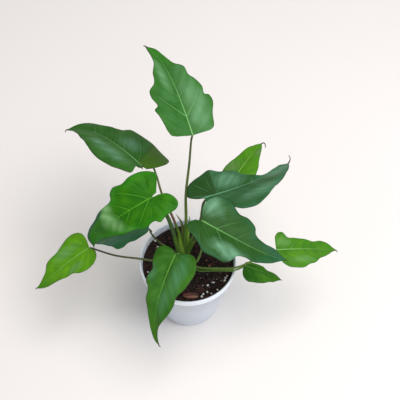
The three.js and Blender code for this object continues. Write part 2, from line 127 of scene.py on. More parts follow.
# The crown: the short stem in the soil, the stalks' sheathing feet round it and the young sheaths.
# A step is the distance between a stem's rings of points, and an oval how much wider and thinner
# than round its foot is. Radii run from foot to tip.
CROWN_FOOT = (-4, 6)
CROWN_RADIUS = 7
CROWN_BOTTOM = 62
CROWN_SHOULDER = 93
CROWN_HEART = 89
CROWN_SIDES = 40
SHEATH_SWELL = 2.1
SHEATH_OVAL = (1.25, 0.8)
SHEATH_SIDES = 20
SHEATH_STEP = 1.6
SHEATH_LINES = 22
YOUNG_RADII = (3.4, 0.35)
YOUNG_OVAL = (1.3, 0.8)
YOUNG_STEP = 1.2
YOUNG_SHEATHS = {
    "fresh": [(-4, 6, 88), (-7, 10, 100), (-11, 24, 121)],
    "pale": [(-4, 6, 88), (-1, 18, 108), (2, 34, 132)],
    "dry": [(-4, 6, 88), (-5, 18, 106), (-7, 31, 122), (-13, 37, 131)],
}

# The stalks, which start inside their sheaths, and the thin stems: rootlets and drip tips
STALK_SIDES = 14
STALK_STEP = 1.8
SHEATH_OVERLAP = 3
KNEE_SWELL = 0.22
KNEE_LENGTH = 9
NECK_LENGTH = 4
THIN_SIDES = 8
THIN_STEP = 0.8
ROOTLET_RADII = (0.42, 0.22)
DRIP_END = 0.3
END_STEPS = 2
WAY_STEPS = 400

# The blades. The mesh's lines leave the midrib on a slant. The side veins start on the same slant
# and bend on towards the tip by VEIN_BEND times the square of the distance out, and VEIN_SHIFT
# makes their gaps uneven. In a lobe they are FAN_STEP radians apart. A vein's colour ends VEIN_EDGE
# cm from its middle, and FINE_LINES lie between two veins. HOOK_PEAK is the greatest value of
# t ** 3 * (1 - t).
BLADE_THICKNESS = 0.6
RIB_DEPTH = 0.9
RIB_WIDTH = 1.3
MIDRIB_ROUNDING = 2
HOOK_PEAK = 0.75 ** 3 * 0.25
LOBE_LINES = 4
COLUMNS_PER_STRETCH = 6
BLADE_ROWS = 15
LINE_SLANT = 0.8
VEIN_BEND = 0.013
VEIN_SHIFT = 0.22
VEIN_EDGE = 0.07
FAN_STEP = 0.52
FINE_LINES = 6

# Each leaf's shape, as in the solids: the blade runs from base (the notch where the stalk joins) to
# tip. arch lifts the midrib's middle, sweep moves it to the right, and hook bends the last third.
# roll lowers the right half and twist adds to it towards the tip, in degrees. fold raises the halves
# and droop bends them down again, [left, right]. left and right are the waved edge, from the notch
# round the lobe to the tip: [distance along the midrib, distance out]. stalk is the leaf stalk's
# way, radius its [foot, top], and sheath the length of its foot that is one with the crown.
LEAVES = {
    "top": {
        "base": [6, 67, 232], "tip": [-45, 164, 264], "arch": 7, "sweep": 2, "hook": 4,
        "roll": 15, "twist": -3, "fold": [0.23, 0.23], "droop": [0.45, 0.45],
        "left": [[1, 12], [3, 25], [8, 28], [18, 30], [27, 32], [34, 34], [38, 29], [48, 32], [57, 31],
            [64, 23], [77, 18], [89, 10], [98, 7], [107, 4]],
        "right": [[2, 9], [2, 22], [5, 27], [18, 30], [30, 35], [37, 33], [39, 28], [48, 29], [58, 25],
            [65, 20], [74, 19], [83, 11], [95, 7], [106, 5]],
        "stalk": [[-3, 18, 108], [-2, 33, 130], [-2, 46, 155], [2, 60, 193]],
        "radius": [1.8, 1], "sheath": 44,
    },
    "upper_left": {
        "base": [-53, 64, 190], "tip": [-141, 135, 160], "arch": 7, "sweep": 4, "hook": 6,
        "roll": 26, "twist": -10, "fold": [0.24, 0.24], "droop": [0.6, 0.75],
        "left": [[-12, 2.2], [-6, 8], [-15, 21], [-6, 29], [1, 35], [15, 38], [32, 37], [50, 32], [66, 27],
            [81, 21], [92, 15], [100, 11], [107, 6], [112, 3]],
        "right": [[-13, 1.8], [-16, 11], [-15, 26], [-7, 38], [8, 39], [22, 40], [33, 38], [46, 37], [55, 35],
            [60, 26], [69, 20], [83, 17], [98, 18], [108, 13]],
        "stalk": [[-8, 18, 108], [-15, 31, 126], [-29, 50, 155], [-34, 60.5, 171.5], [-39, 66, 181.5]],
        "radius": [1.5, 0.9], "sheath": 44,
    },
    "bright_left": {
        "base": [-38, 6, 205], "tip": [-101, -8, 135], "arch": 15, "sweep": 1, "hook": 3,
        "roll": -25, "twist": -8, "fold": [0.25, 0.25], "droop": [0.5, 0.5],
        "left": [[-11, 1], [-18, 4], [-23, 11], [-24, 18], [-20, 23], [-7, 25], [1, 28], [5, 24], [16, 25],
            [26, 21], [38, 19], [52, 14], [68, 8], [82, 4]],
        "right": [[-9, 2], [-15, 12], [-18, 19], [-14, 24], [-5, 29], [7, 30], [15, 27], [24, 29], [30, 25],
            [33, 19], [49, 16], [64, 12], [79, 11], [91, 8]],
        "stalk": [[-11, 14, 102], [-22, 31, 133], [-30, 29, 160], [-37, 19, 187]], "radius": [2.5, 1.5],
        "sheath": 30,
    },
    "shade_left": {
        "base": [-42, 6, 150], "tip": [-104, 8, 119], "arch": 3, "sweep": 0, "hook": 0,
        "roll": 22, "twist": -5, "fold": [0.22, 0.22], "droop": [0.5, 0.5],
        "left": [[-2, 4], [-1, 11], [4, 16], [9, 21], [16, 22.5], [21, 28], [28, 29], [36, 24], [47, 17],
            [57, 11], [65, 5]],
        "right": [[0, 4], [1, 12], [8, 21], [16, 25], [25, 24], [31, 20], [38, 16], [46, 11], [54, 8],
            [61, 5], [66, 2]],
        "stalk": [[-14, 9, 96], [-30, 16, 103], [-36, 16, 113], [-41, 12, 134]], "radius": [1.3, 0.9],
        "sheath": 14,
    },
    "upper_right": {
        "base": [31, 35, 172], "tip": [113, 90, 155], "arch": 5, "sweep": 9, "hook": 0,
        "roll": -10, "twist": -30, "fold": [0.15, 0.15], "droop": [0.2, 0.2],
        "left": [[-13, 0], [-23, 2], [-30, 7], [-29, 14], [-24, 23], [-11, 29], [3, 36], [16, 32], [33, 29],
            [40, 23], [46, 13], [60, 5], [83, 6], [94, 6]],
        "right": [[-14, 2], [-13, 9], [-10, 19], [-7, 24], [-1, 26.5], [9, 29], [15, 36], [26, 41], [33, 38],
            [44, 32], [57, 26], [70, 20], [82, 13], [93, 6]],
        "stalk": [[1, 15, 104], [8, 25, 113], [14, 32, 128], [15.7, 35.3, 142],
            [17.5, 37, 154], [23.5, 36.5, 163]],
        "radius": [1.6, 1.1], "sheath": 26,
    },
    "back_right": {
        "base": [51, 83, 132], "tip": [86, 133, 138], "arch": 5, "sweep": 1, "hook": 0,
        "roll": -5, "twist": 0, "fold": [0.16, 0.16], "droop": [0.6, 0.6],
        "left": [[-6, 3], [-10, 10], [-5, 16], [7, 18], [18, 16], [30, 13], [39, 11], [49, 8], [56, 4]],
        "right": [[-6, 3], [-10, 10], [-5, 18], [6, 20], [19, 19], [27, 17], [36, 12], [46, 8], [55, 4]],
        "stalk": [[8, -3, 93], [14, 7, 97], [16, 26, 106], [16, 46, 116], [20, 64, 122], [34, 76, 127]],
        "radius": [1.4, 0.9], "sheath": 18,
    },
    "front_right": {
        "base": [16, -8, 185], "tip": [104, -32, 147], "arch": 5, "sweep": 5, "hook": 2,
        "roll": 4, "twist": 2, "fold": [0.25, 0.25], "droop": [0.4, 0.4],
        "left": [[-3, 4], [-7, 15], [-6, 24], [0, 32], [10, 35], [17, 35], [24, 30], [32, 26], [44, 27],
            [54, 21], [57, 14], [70, 10], [82, 8], [91, 4]],
        "right": [[-7, 3], [-11, 11], [-8, 18], [5, 24], [15, 32], [26, 32], [35, 32], [41, 26], [45, 18],
            [53, 15], [62, 16], [72, 12], [82, 8], [91, 3]],
        "stalk": [[2, 11, 102], [9, 13, 118], [14, 7, 145], [16, -2, 168]],
        "radius": [1.8, 1.2], "sheath": 24,
    },
    "far_right": {
        "base": [97, -4, 122], "tip": [167, 9, 100], "arch": 2, "sweep": 0, "hook": 0,
        "roll": -7, "twist": 0, "fold": [0.2, 0.2], "droop": [0.55, 0.55],
        "left": [[2, 12], [4, 19], [9, 24], [14, 24], [18, 17], [26, 16], [37, 13], [47, 11], [57, 12],
            [65, 8], [71, 3]],
        "right": [[-1, 7], [2, 18], [8, 24], [16, 26], [25, 26], [34, 21], [41, 19], [48, 14], [56, 10],
            [63, 6], [69, 2]],
        "stalk": [[2, -3, 95], [10, -11, 97], [32, -15, 100.5], [53, -17, 106], [74, -11, 112.5]],
        "radius": [1.5, 1], "sheath": 18,
    },
    "small_right": {
        "base": [63, -12, 102], "tip": [104, -21, 86], "arch": 2, "sweep": 1, "hook": 0,
        "roll": -15, "twist": 0, "fold": [0.1, 0.1], "droop": [0.6, 0.6],
        "left": [[0, 5], [4, 8], [10, 9], [19, 8], [27, 5], [33, 5], [38, 4], [42, 2]],
        "right": [[-1, 5], [1, 14], [7, 19], [14, 18], [22, 15], [28, 12], [35, 8], [40, 4]],
        "stalk": [[2, -4, 92], [10, -12, 92], [32, -15, 96], [52, -16, 98.5]], "radius": [1.2, 0.8],
        "sheath": 14,
    },
    "front": {
        "base": [-12, -27, 150], "tip": [-30, -102, 89], "arch": 8, "sweep": 3, "hook": 4,
        "roll": 28, "twist": -3, "fold": [0.2, 0.2], "droop": [0.65, 0.65],
        "left": [[-3, 8], [-6, 18], [-5, 25], [1, 30], [9, 32], [21, 30], [31, 27], [41, 22], [50, 21],
            [60, 18], [70, 12], [79, 5], [88, 2], [94, 1]],
        "right": [[-4, 8], [-4, 17], [1, 25], [9, 25], [16, 23], [22, 20], [30, 23], [36, 22], [41, 16],
            [53, 15], [62, 11], [73, 7], [86, 4.5], [94, 3]],
        "stalk": [[-7, -1, 100], [-11, -12, 119], [-12, -19, 136]], "radius": [1.6, 1.1], "sheath": 20,
    },
    "far_left": {
        "base": [-108, -1, 122], "tip": [-167, -34, 90], "arch": 4, "sweep": -1, "hook": -1,
        "roll": 4, "twist": 0, "fold": [0.24, 0.24], "droop": [0.4, 0.4],
        "left": [[-4, 9], [-2, 16], [4, 22], [14, 24], [22, 22], [29, 17], [38, 15], [47, 12], [56, 10],
            [64, 7], [71, 3]],
        "right": [[-2, 9], [-1, 20], [5, 25], [14, 26], [24, 23], [33, 18], [42, 18], [50, 16], [56, 8],
            [64, 4], [71, 1]],
        "stalk": [[-14, 0, 92], [-31, -4, 96.5], [-50, -4, 102.5], [-80, -5, 112]], "radius": [1.4, 0.9],
        "sheath": 12,
    },
}

# What each leaf looks like, with its colours as they appear in daylight. vein_gap is the distance
# between side veins and pucker how far the skin swells between them. The patches' colour is a
# painted sheen, light reflected off the wax, and patches are where it is painted: (share of the
# length, cm out to the right, reach along as a share, reach out in cm). bow bends a long patch. lobe
# tints one basal lobe with painted shade where it folds away, and paints a shadow line along its
# crease: (side, colour, lean of its crease). turned paints shade on the strip of the edge that bends
# away: (side, share where it starts, colour). curl is the drip tip's way on from the end of the
# blade, and drip its radius there. veins, midrib and margin are how strongly these show, and sheen
# how much the wax shines.
LOOKS = {
    "top": {
        "slot": "leaf_mid", "skin": 0x386f2f, "deep": 0x205a12, "fresh": 0x296c04, "painted_sheen": 0x629463,
        "vein": 0x7fb86c, "vein_gap": 18, "pucker": 0.7, "seed": 1, "drip": 1.1, "margin": 0.85,
        "patches": [(0.28, 1.6, 0.48, 1.8), (0.62, -0.9, 0.3, 0.8)],
        "curl": [(-1.5, 0.8, 0.2), (-2.6, 0.8, -0.4)],
    },
    "upper_left": {
        "slot": "leaf_deep", "skin": 0x356a22, "deep": 0x225606, "fresh": 0x245c03, "painted_sheen": 0x5a8864,
        "vein": 0x74a86c, "vein_gap": 19, "pucker": 0.7, "seed": 2, "drip": 0.9, "margin": 0.9, "sheen": 0.1,
        "lobe": (1, 0x41640a, 0.045),
        "patches": [(0.25, -1.7, 0.35, 1.3), (0.26, 1.4, 0.2, 1.4), (0.5, -1.5, 0.15, 0.7)],
        "curl": [(-1, -0.8, -1.5), (-1.4, -1.5, -3)],
    },
    "bright_left": {
        "slot": "leaf_bright", "skin": 0x347600, "deep": 0x185e00, "fresh": 0x26800a, "painted_sheen": 0x8cc07c,
        "vein": 0x6ab828, "vein_gap": 17, "pucker": 0.8, "seed": 3, "drip": 0.7,
        "patches": [(0.5, 0.3, 0.14, 3.0)], "bow": 0.036, "veins": 0.85, "midrib": 0.6,
        "turned": (1, 0.45, 0x2a5440), "curl": [(-0.3, -0.3, -2), (0.3, -0.3, -3.5)],
    },
    "shade_left": {
        "slot": "leaf_deep", "skin": 0x3c8450, "deep": 0x2a6a38, "fresh": 0x2c6e38, "painted_sheen": 0x589070,
        "vein": 0x4c8a6c, "vein_gap": 12, "pucker": 0.8, "seed": 4, "drip": 0.6,
        "patches": [(0.5, -1.4, 0.4, 1.2)], "curl": [(-0.5, -0.6, -1), (-0.6, -0.8, -2)],
    },
    "upper_right": {
        "slot": "leaf_deep", "skin": 0x346236, "deep": 0x1c4a10, "fresh": 0x30704c, "painted_sheen": 0x5f8f6c,
        "vein": 0x70a880, "vein_gap": 14, "pucker": 0.9, "seed": 5, "drip": 1.0, "margin": 0.9,
        "lobe": (-1, 0x1e4006, 0.006),
        "patches": [(0.18, -1.6, 0.25, 1.6), (0.75, 0.3, 0.25, 1.2), (0.4, 2.2, 0.3, 1.2)],
        "curl": [(1.5, 2, 2), (2, 4, 5), (0, 6, 7.5)],
    },
    "back_right": {
        "slot": "leaf_bright", "skin": 0x4b8808, "deep": 0x3b700b, "fresh": 0x448405, "painted_sheen": 0x5d8347,
        "vein": 0x8cc050, "veins": 0.3, "vein_gap": 12, "pucker": 0.6, "seed": 6, "drip": 0.9,
        "patches": [(0.2, -1.1, 0.3, 1.0), (0.75, 0.5, 0.2, 0.4)],
        "curl": [(2.5, 0.5, 0.5), (4.5, 0, -3), (4.5, -0.5, -8)],
    },
    "front_right": {
        "slot": "leaf_mid", "skin": 0x265216, "deep": 0x144202, "fresh": 0x1d5638, "painted_sheen": 0x6ea07c,
        "vein": 0x74b060, "veins": 0.45, "vein_gap": 16, "pucker": 0.9, "seed": 7, "drip": 0.8,
        "patches": [(0.0, -2.0, 0.24, 1.6), (0.34, 1.9, 0.26, 1.2)],
        "curl": [(1.2, 0, -0.4), (2, -0.3, -1)],
    },
    "far_right": {
        "slot": "leaf_bright", "skin": 0x508c08, "deep": 0x347005, "fresh": 0x3c7a05, "painted_sheen": 0x64944c,
        "vein": 0x8cc068, "veins": 0.4, "vein_gap": 12, "pucker": 0.5, "seed": 8, "drip": 0.7,
        "patches": [(0.12, -1.1, 0.2, 1.0), (0.35, 1.5, 0.25, 0.9)],
        "curl": [(1, -0.6, -1.6), (0.8, -1.2, -3)],
    },
    "small_right": {
        "slot": "leaf_bright", "skin": 0x2c6602, "deep": 0x185402, "fresh": 0x3f7905, "painted_sheen": 0x477b1f,
        "vein": 0x5c9838, "vein_gap": 9, "pucker": 0.5, "seed": 9, "drip": 0.6,
        "patches": [(0.5, 0.6, 0.3, 0.6)], "curl": [(0.8, -0.2, -0.6), (1.3, -0.4, -1.4)],
    },
    "front": {
        "slot": "leaf_mid", "skin": 0x427f2a, "deep": 0x265f10, "fresh": 0x3c6e0a, "painted_sheen": 0x4f8a5a,
        "vein": 0x7cb850, "veins": 0.5, "vein_gap": 17, "pucker": 0.7, "seed": 10, "drip": 0.8,
        "patches": [(0.2, -1.5, 0.35, 1.4), (0.25, 1.9, 0.15, 1.0), (0.5, -0.7, 0.2, 0.9)],
        "curl": [(0.8, -0.8, -1), (2, -1.2, -1.8)],
    },
    "far_left": {
        "slot": "leaf_bright", "skin": 0x68a808, "deep": 0x4a8804, "fresh": 0x447e02, "painted_sheen": 0x61944d,
        "vein": 0x84bc58, "veins": 0.45, "vein_gap": 13, "pucker": 0.6, "seed": 11, "drip": 0.7,
        "patches": [(0.35, 1.2, 0.3, 0.9), (0.3, -1.3, 0.2, 0.7)],
        "curl": [(-0.8, -0.4, -0.8), (-1.6, -0.6, -1.6)],
    },
}

# Stalk colours from foot to top
STALK_COLOURS = {
    "top": (0x5f7a22, 0x4a5a24), "upper_left": (0x6a4a34, 0x4c6a2a),
    "bright_left": (0x355a1c, 0x44701c), "shade_left": (0x4a5422, 0x404c24),
    "upper_right": (0x566a24, 0x3c5420), "back_right": (0x6c8832, 0x647830),
    "front_right": (0x5c742a, 0x507c2c), "far_right": (0x74903a, 0x688a34),
    "small_right": (0x6c8a34, 0x648e30), "front": (0x4c6c24, 0x467a2c),
    "far_left": (0x5c7030, 0x4a3c20),
}

# Sheath colours from foot to top, and the share of the length where a sheath starts to dry. One
# that is well over 1 stays green.
SHEATH_LOOKS = {
    "crown": (0x2c4e08, 0x426e0e, 9),
    "young": (0x4a7814, 0x7ca428, 0.93),
    "dry": (0x48621a, 0x626a28, 0.72),
}

# The other colours, as they appear in daylight
# The dark edge of a leaf, also used as the painted shadow line along a folded lobe's crease
LEAF_EDGE_AND_CREASE_SHADOW = 0x2c3f1c
DRIP_TIP = 0x3c2a22
UNDERSIDE = (0x5a8a50, 0x4a7a40)
UNDERSIDE_VEIN = 0x8cb074
STALK_BLOTCH = 0x4a4422
STALK_STREAK = 0x7a9040
SHEATH_LINE = 0x9ab048
SHEATH_BLOTCH = 0x4a5a1c
SHEATH_DRY = 0x8a6a3c
ROOTLET = (0x4a362c, 0x6c5442)
# The pot's wall, painted darker and bluer as shade, and its band, painted lighter as light
POT_WALL_SHADED = (0xc8cfd9, 0xd2d9e2)
POT_BAND_LIT = 0xf6faff
# Painted lilac shade for the inside of the pot
POT_INSIDE_SHADE = 0xc9c3d2
POT_DUST = 0x5a453c
POT_SCUFF = 0xa9a6ae
DARK_SOIL = (0x19100e, 0x34221c, 0x562c22)
BROWN_SOIL = (0x221614, 0x3c2a26, 0x5e342a)
BARK = (0x452620, 0x7a4a3c)
BARK_PATCH = 0x3a2420
BARK_STREAK = 0xa0755e
PERLITE = (0xc4c0c0, 0xfcfaf8)
PERLITE_STAIN = 0x6c5c58
FLOOR = (0xefe8e0, 0xf4eee8)


def lerp(a, b, share):
    return a + (b - a) * share


def clamp(value, low, high):
    return max(low, min(high, value))


def ramp(value, low, high):
    """0 at low and 1 at high, with an easy start and end."""
    share = clamp((value - low) / (high - low), 0, 1)
    return share * share * (3 - 2 * share)


def vectors(places):
    return [Vector(place) for place in places]


def daylight(colour):
    """A colour as it looks, 0xRRGGBB, in the linear values that a shader takes."""
    parts = [(colour >> shift & 255) / 255 for shift in (16, 8, 0)]
    return (*[c / 12.92 if c < 0.04045 else ((c + 0.055) / 1.055) ** 2.4 for c in parts], 1.0)


class Wire:
    """A node's output socket, on which Python's own sums add Math nodes."""

    def __init__(self, board, socket):
        self.board = board
        self.socket = socket

    def sum(self, operation, *others):
        return self.board.wire("ShaderNodeMath", 0, {"operation": operation}, dict(enumerate(others)))

    def __add__(self, other):
        return self.sum("ADD", self, other)

    __radd__ = __add__

    def __sub__(self, other):
        return self.sum("SUBTRACT", self, other)

    def __rsub__(self, other):
        return self.sum("SUBTRACT", other, self)

    def __mul__(self, other):
        return self.sum("MULTIPLY", self, other)

    __rmul__ = __mul__

    def __truediv__(self, other):
        return self.sum("DIVIDE", self, other)

    def __pow__(self, other):
        return self.sum("POWER", self, other)

    def size(self):
        return self.sum("ABSOLUTE", self)

    def part(self):
        return self.sum("FRACT", self)

    def fade(self, low, high):
        """0 up to low and 1 from high, with an easy start and end."""
        sockets = {"Value": self, "From Min": low, "From Max": high}
        return self.board.wire("ShaderNodeMapRange", 0, {"interpolation_type": "SMOOTHSTEP"}, sockets)


class Board:
    """A node tree, and the one way that nodes are added to it."""

    def __init__(self, tree):
        self.tree = tree

    def node(self, kind, settings=None, sockets=None):
        made = self.tree.nodes.new(kind)
        for name, value in (settings or {}).items():
            setattr(made, name, value)
        for name, value in (sockets or {}).items():
            if isinstance(value, Wire):
                self.tree.links.new(value.socket, made.inputs[name])
            else:
                made.inputs[name].default_value = value
        return made

    def wire(self, kind, output, settings=None, sockets=None):
        return Wire(self, self.node(kind, settings, sockets).outputs[output])


class Finish(Board):
    """A material with one main shader, whose constants are given as its sockets' names."""

    def __init__(self, name, **constants):
        self.material = bpy.data.materials.new(name)
        self.material.use_nodes = True
        super().__init__(self.material.node_tree)
        self.tree.nodes.clear()
        named = {key.replace("_", " "): value for key, value in constants.items()}
        self.shader = self.node("ShaderNodeBsdfPrincipled", None, named)
        output = self.node("ShaderNodeOutputMaterial")
        self.tree.links.new(self.shader.outputs[0], output.inputs[0])

    def place(self, scale=(1, 1, 1)):
        """The object's own coordinates in metres, stretched by scale."""
        spot = self.wire("ShaderNodeTexCoord", "Object")
        return self.wire("ShaderNodeMapping", 0, None, {"Vector": spot, "Scale": scale})

    def spots(self, layer):
        """The two numbers that a UV map holds."""
        pair = self.wire("ShaderNodeUVMap", 0, {"uv_map": layer})
        split = self.node("ShaderNodeSeparateXYZ", None, {0: pair})
        return Wire(self, split.outputs[0]), Wire(self, split.outputs[1])

    def grain(self, vector, scale, detail, rough=0.5):
        sockets = {"Vector": vector, "Scale": scale, "Detail": detail, "Roughness": rough}
        return self.wire("ShaderNodeTexNoise", 0, None, sockets)

    def mix(self, share, *pair):
        """From the first colour of a pair to the second. Each is a wire or a number, 0xRRGGBB."""
        first, second = [c if isinstance(c, Wire) else daylight(c) for c in pair]
        settings = {"data_type": "RGBA", "blend_type": "MIX", "clamp_factor": True}
        return self.wire("ShaderNodeMix", 2, settings, {0: share, 6: first, 7: second})

    def cover(self, colour, *layers):
        """The colour with layers over it, each (share, tint)."""
        for share, tint in layers:
            colour = self.mix(share, colour, tint)
        return colour

    def finish(self, colour, roughness, height=None, depth=0.0):
        """Feeds the shader. height is a relief from 0 to 1, depth its size in metres."""
        self.tree.links.new(colour.socket, self.shader.inputs["Base Color"])
        self.tree.links.new(roughness.socket, self.shader.inputs["Roughness"])
        if height:
            relief = {"Height": height, "Strength": 1.0, "Distance": depth}
            bump = self.wire("ShaderNodeBump", 0, None, relief)
            self.tree.links.new(bump.socket, self.shader.inputs["Normal"])
        return self.material


def smooth_way(points, share):
    """The point at a share, from 0 to 1, of a smooth curve through all the points."""
    last = len(points) - 1
    spot = clamp(share, 0, 1) * last
    i = min(int(spot), last - 1)
    w = spot - i
    p1, p2 = points[i], points[i + 1]
    p0 = points[i - 1] if i > 0 else p1 * 2 - p2
    p3 = points[i + 2] if i + 2 <= last else p2 * 2 - p1
    d0, d1, d2 = [max(math.sqrt((b - a).length), 1e-4) for a, b in ((p0, p1), (p1, p2), (p2, p3))]
    m1 = ((p1 - p0) / d0 - (p2 - p0) / (d0 + d1) + (p2 - p1) / d1) * d1
    m2 = ((p2 - p1) / d1 - (p3 - p1) / (d1 + d2) + (p3 - p2) / d2) * d1
    return p1 + m1 * w + (p2 * 3 - p1 * 3 - m1 * 2 - m2) * w ** 2 + (p1 * 2 - p2 * 2 + m1 + m2) * w ** 3


def even_way(points, gap, start=0.0):
    """Points a gap apart along the smooth curve, from a distance along it to its end."""
    fine = [smooth_way(points, i / WAY_STEPS) for i in range(WAY_STEPS + 1)]
    reach = [0.0]
    for a, b in zip(fine, fine[1:]):
        reach.append(reach[-1] + (b - a).length)
    count = max(3, round((reach[-1] - start) / gap))
    way = []
    i = 0
    for k in range(count + 1):
        goal = lerp(start, reach[-1], k / count)
        while i < WAY_STEPS - 1 and reach[i + 1] < goal:
            i += 1
        way.append(fine[i].lerp(fine[i + 1], (goal - reach[i]) / max(reach[i + 1] - reach[i], 1e-6)))
    return way


def put(name, data):
    """A new object in the scene."""
    made = bpy.data.objects.new(name, data)
    bpy.context.scene.collection.objects.link(made)
    return made


class Shell:
    """The points, faces, face corners and faces' finishes that make one mesh. A corner holds four
    numbers, which become two UV maps."""

    def __init__(self):
        self.points = []
        self.faces = []
        self.corners = []
        self.finishes = []

    def add(self, points, faces, corners, finish=0):
        """More points, and faces between them. finish is the number of their material."""
        first = len(self.points)
        self.points += points
        self.add_faces([[first + i for i in face] for face in faces], corners, finish)

    def add_faces(self, faces, corners, finish=0):
        self.faces += faces
        self.corners += corners
        self.finishes += [finish] * len(faces)

    def piece(self, name, materials):
        """A new object."""
        mesh = bpy.data.meshes.new(name)
        mesh.from_pydata([tuple(p * MM) for p in self.points], [], self.faces)
        for material in materials:
            mesh.materials.append(material)
        for layer, offset in (("along", 0), ("across", 2)):
            uv = mesh.uv_layers.new(name=layer)
            flat = [number for face in self.corners for c in face for number in c[offset:offset + 2]]
            uv.data.foreach_set("uv", flat)
        for face, finish in zip(mesh.polygons, self.finishes):
            face.use_smooth = True
            face.material_index = finish
        mesh.validate()
        return put(name, mesh)


def settle(piece, slot, *nodes):
    """A finished piece hangs on the root body and stands for its solids, which are hidden. slot is not used.
    """
    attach(piece, "root")
    if nodes:
        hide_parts(*nodes)
    return piece


def harden(piece):
    """A piece's modifiers become part of its mesh."""
    bpy.context.view_layer.update()
    graph = bpy.context.evaluated_depsgraph_get()
    plain = bpy.data.meshes.new_from_object(piece.evaluated_get(graph), depsgraph=graph)
    piece.modifiers.clear()
    piece.data = plain
    return piece


def ring_walls(rings, sides, mark):
    """Faces from each ring of points to the next, and their corners. mark(ring, share of the way
    round) gives a corner's four numbers."""
    faces = []
    corners = []
    for i in range(rings - 1):
        for k in range(sides):
            n = (k + 1) % sides
            faces.append([i * sides + k, i * sides + n, (i + 1) * sides + n, (i + 1) * sides + k])
            here, there = k / sides, (k + 1) / sides
            corners.append([mark(i, here), mark(i, there), mark(i + 1, there), mark(i + 1, here)])
    return faces, corners


def taper(way, foot, top, bend=1):
    """A radius for each point of a way, from foot to top. With a bend over 1 it shrinks late."""
    last = len(way) - 1
    return [lerp(foot, top, (i / last) ** bend) for i in range(last + 1)]


def stem(way, radii, sides, oval=(1, 1), facing=None):
    """A closed stem with blunt ends along a way, as points, faces and corners. oval widens its foot
    across facing and flattens it along facing."""
    radii = rounded(radii)
    last = len(way) - 1
    tangent = (way[1] - way[0]).normalized()
    across = (facing or Vector((0, 0, 1)).cross(tangent) + Vector((1e-3, 0, 0))).cross(tangent).normalized()
    total = sum((b - a).length for a, b in zip(way, way[1:]))
    done = [0.0]
    points = []
    for i, centre in enumerate(way):
        tangent = (way[min(i + 1, last)] - way[max(i - 1, 0)]).normalized()
        across = (across - tangent * across.dot(tangent)).normalized()
        deep = tangent.cross(across)
        if i:
            done.append(done[-1] + (centre - way[i - 1]).length)
        ease = 1 - done[i] / total
        wide = lerp(1, oval[0], ease)
        thick = lerp(1, oval[1], ease)
        for k in range(sides):
            angle = 2 * math.pi * k / sides
            aside = across * math.cos(angle) * wide + deep * math.sin(angle) * thick
            points.append(centre + aside * radii[i])
    faces, corners = ring_walls(last + 1, sides, lambda i, share: (share, done[i] / total, done[i], 0))
    for end in (0, 1):
        cap = [end * last * sides + k for k in range(sides)]
        faces.append(cap if end else cap[::-1])
        corners.append([(0.5, end, total * end, 0)] * sides)
    return points, faces, corners


def rounded(radii):
    """The same radii with both ends drawn in."""
    made = list(radii)
    for i in range(END_STEPS):
        share = math.sqrt(1 - ((END_STEPS - i) / (END_STEPS + 0.5)) ** 2)
        made[i] *= share
        made[-1 - i] *= share
    return made


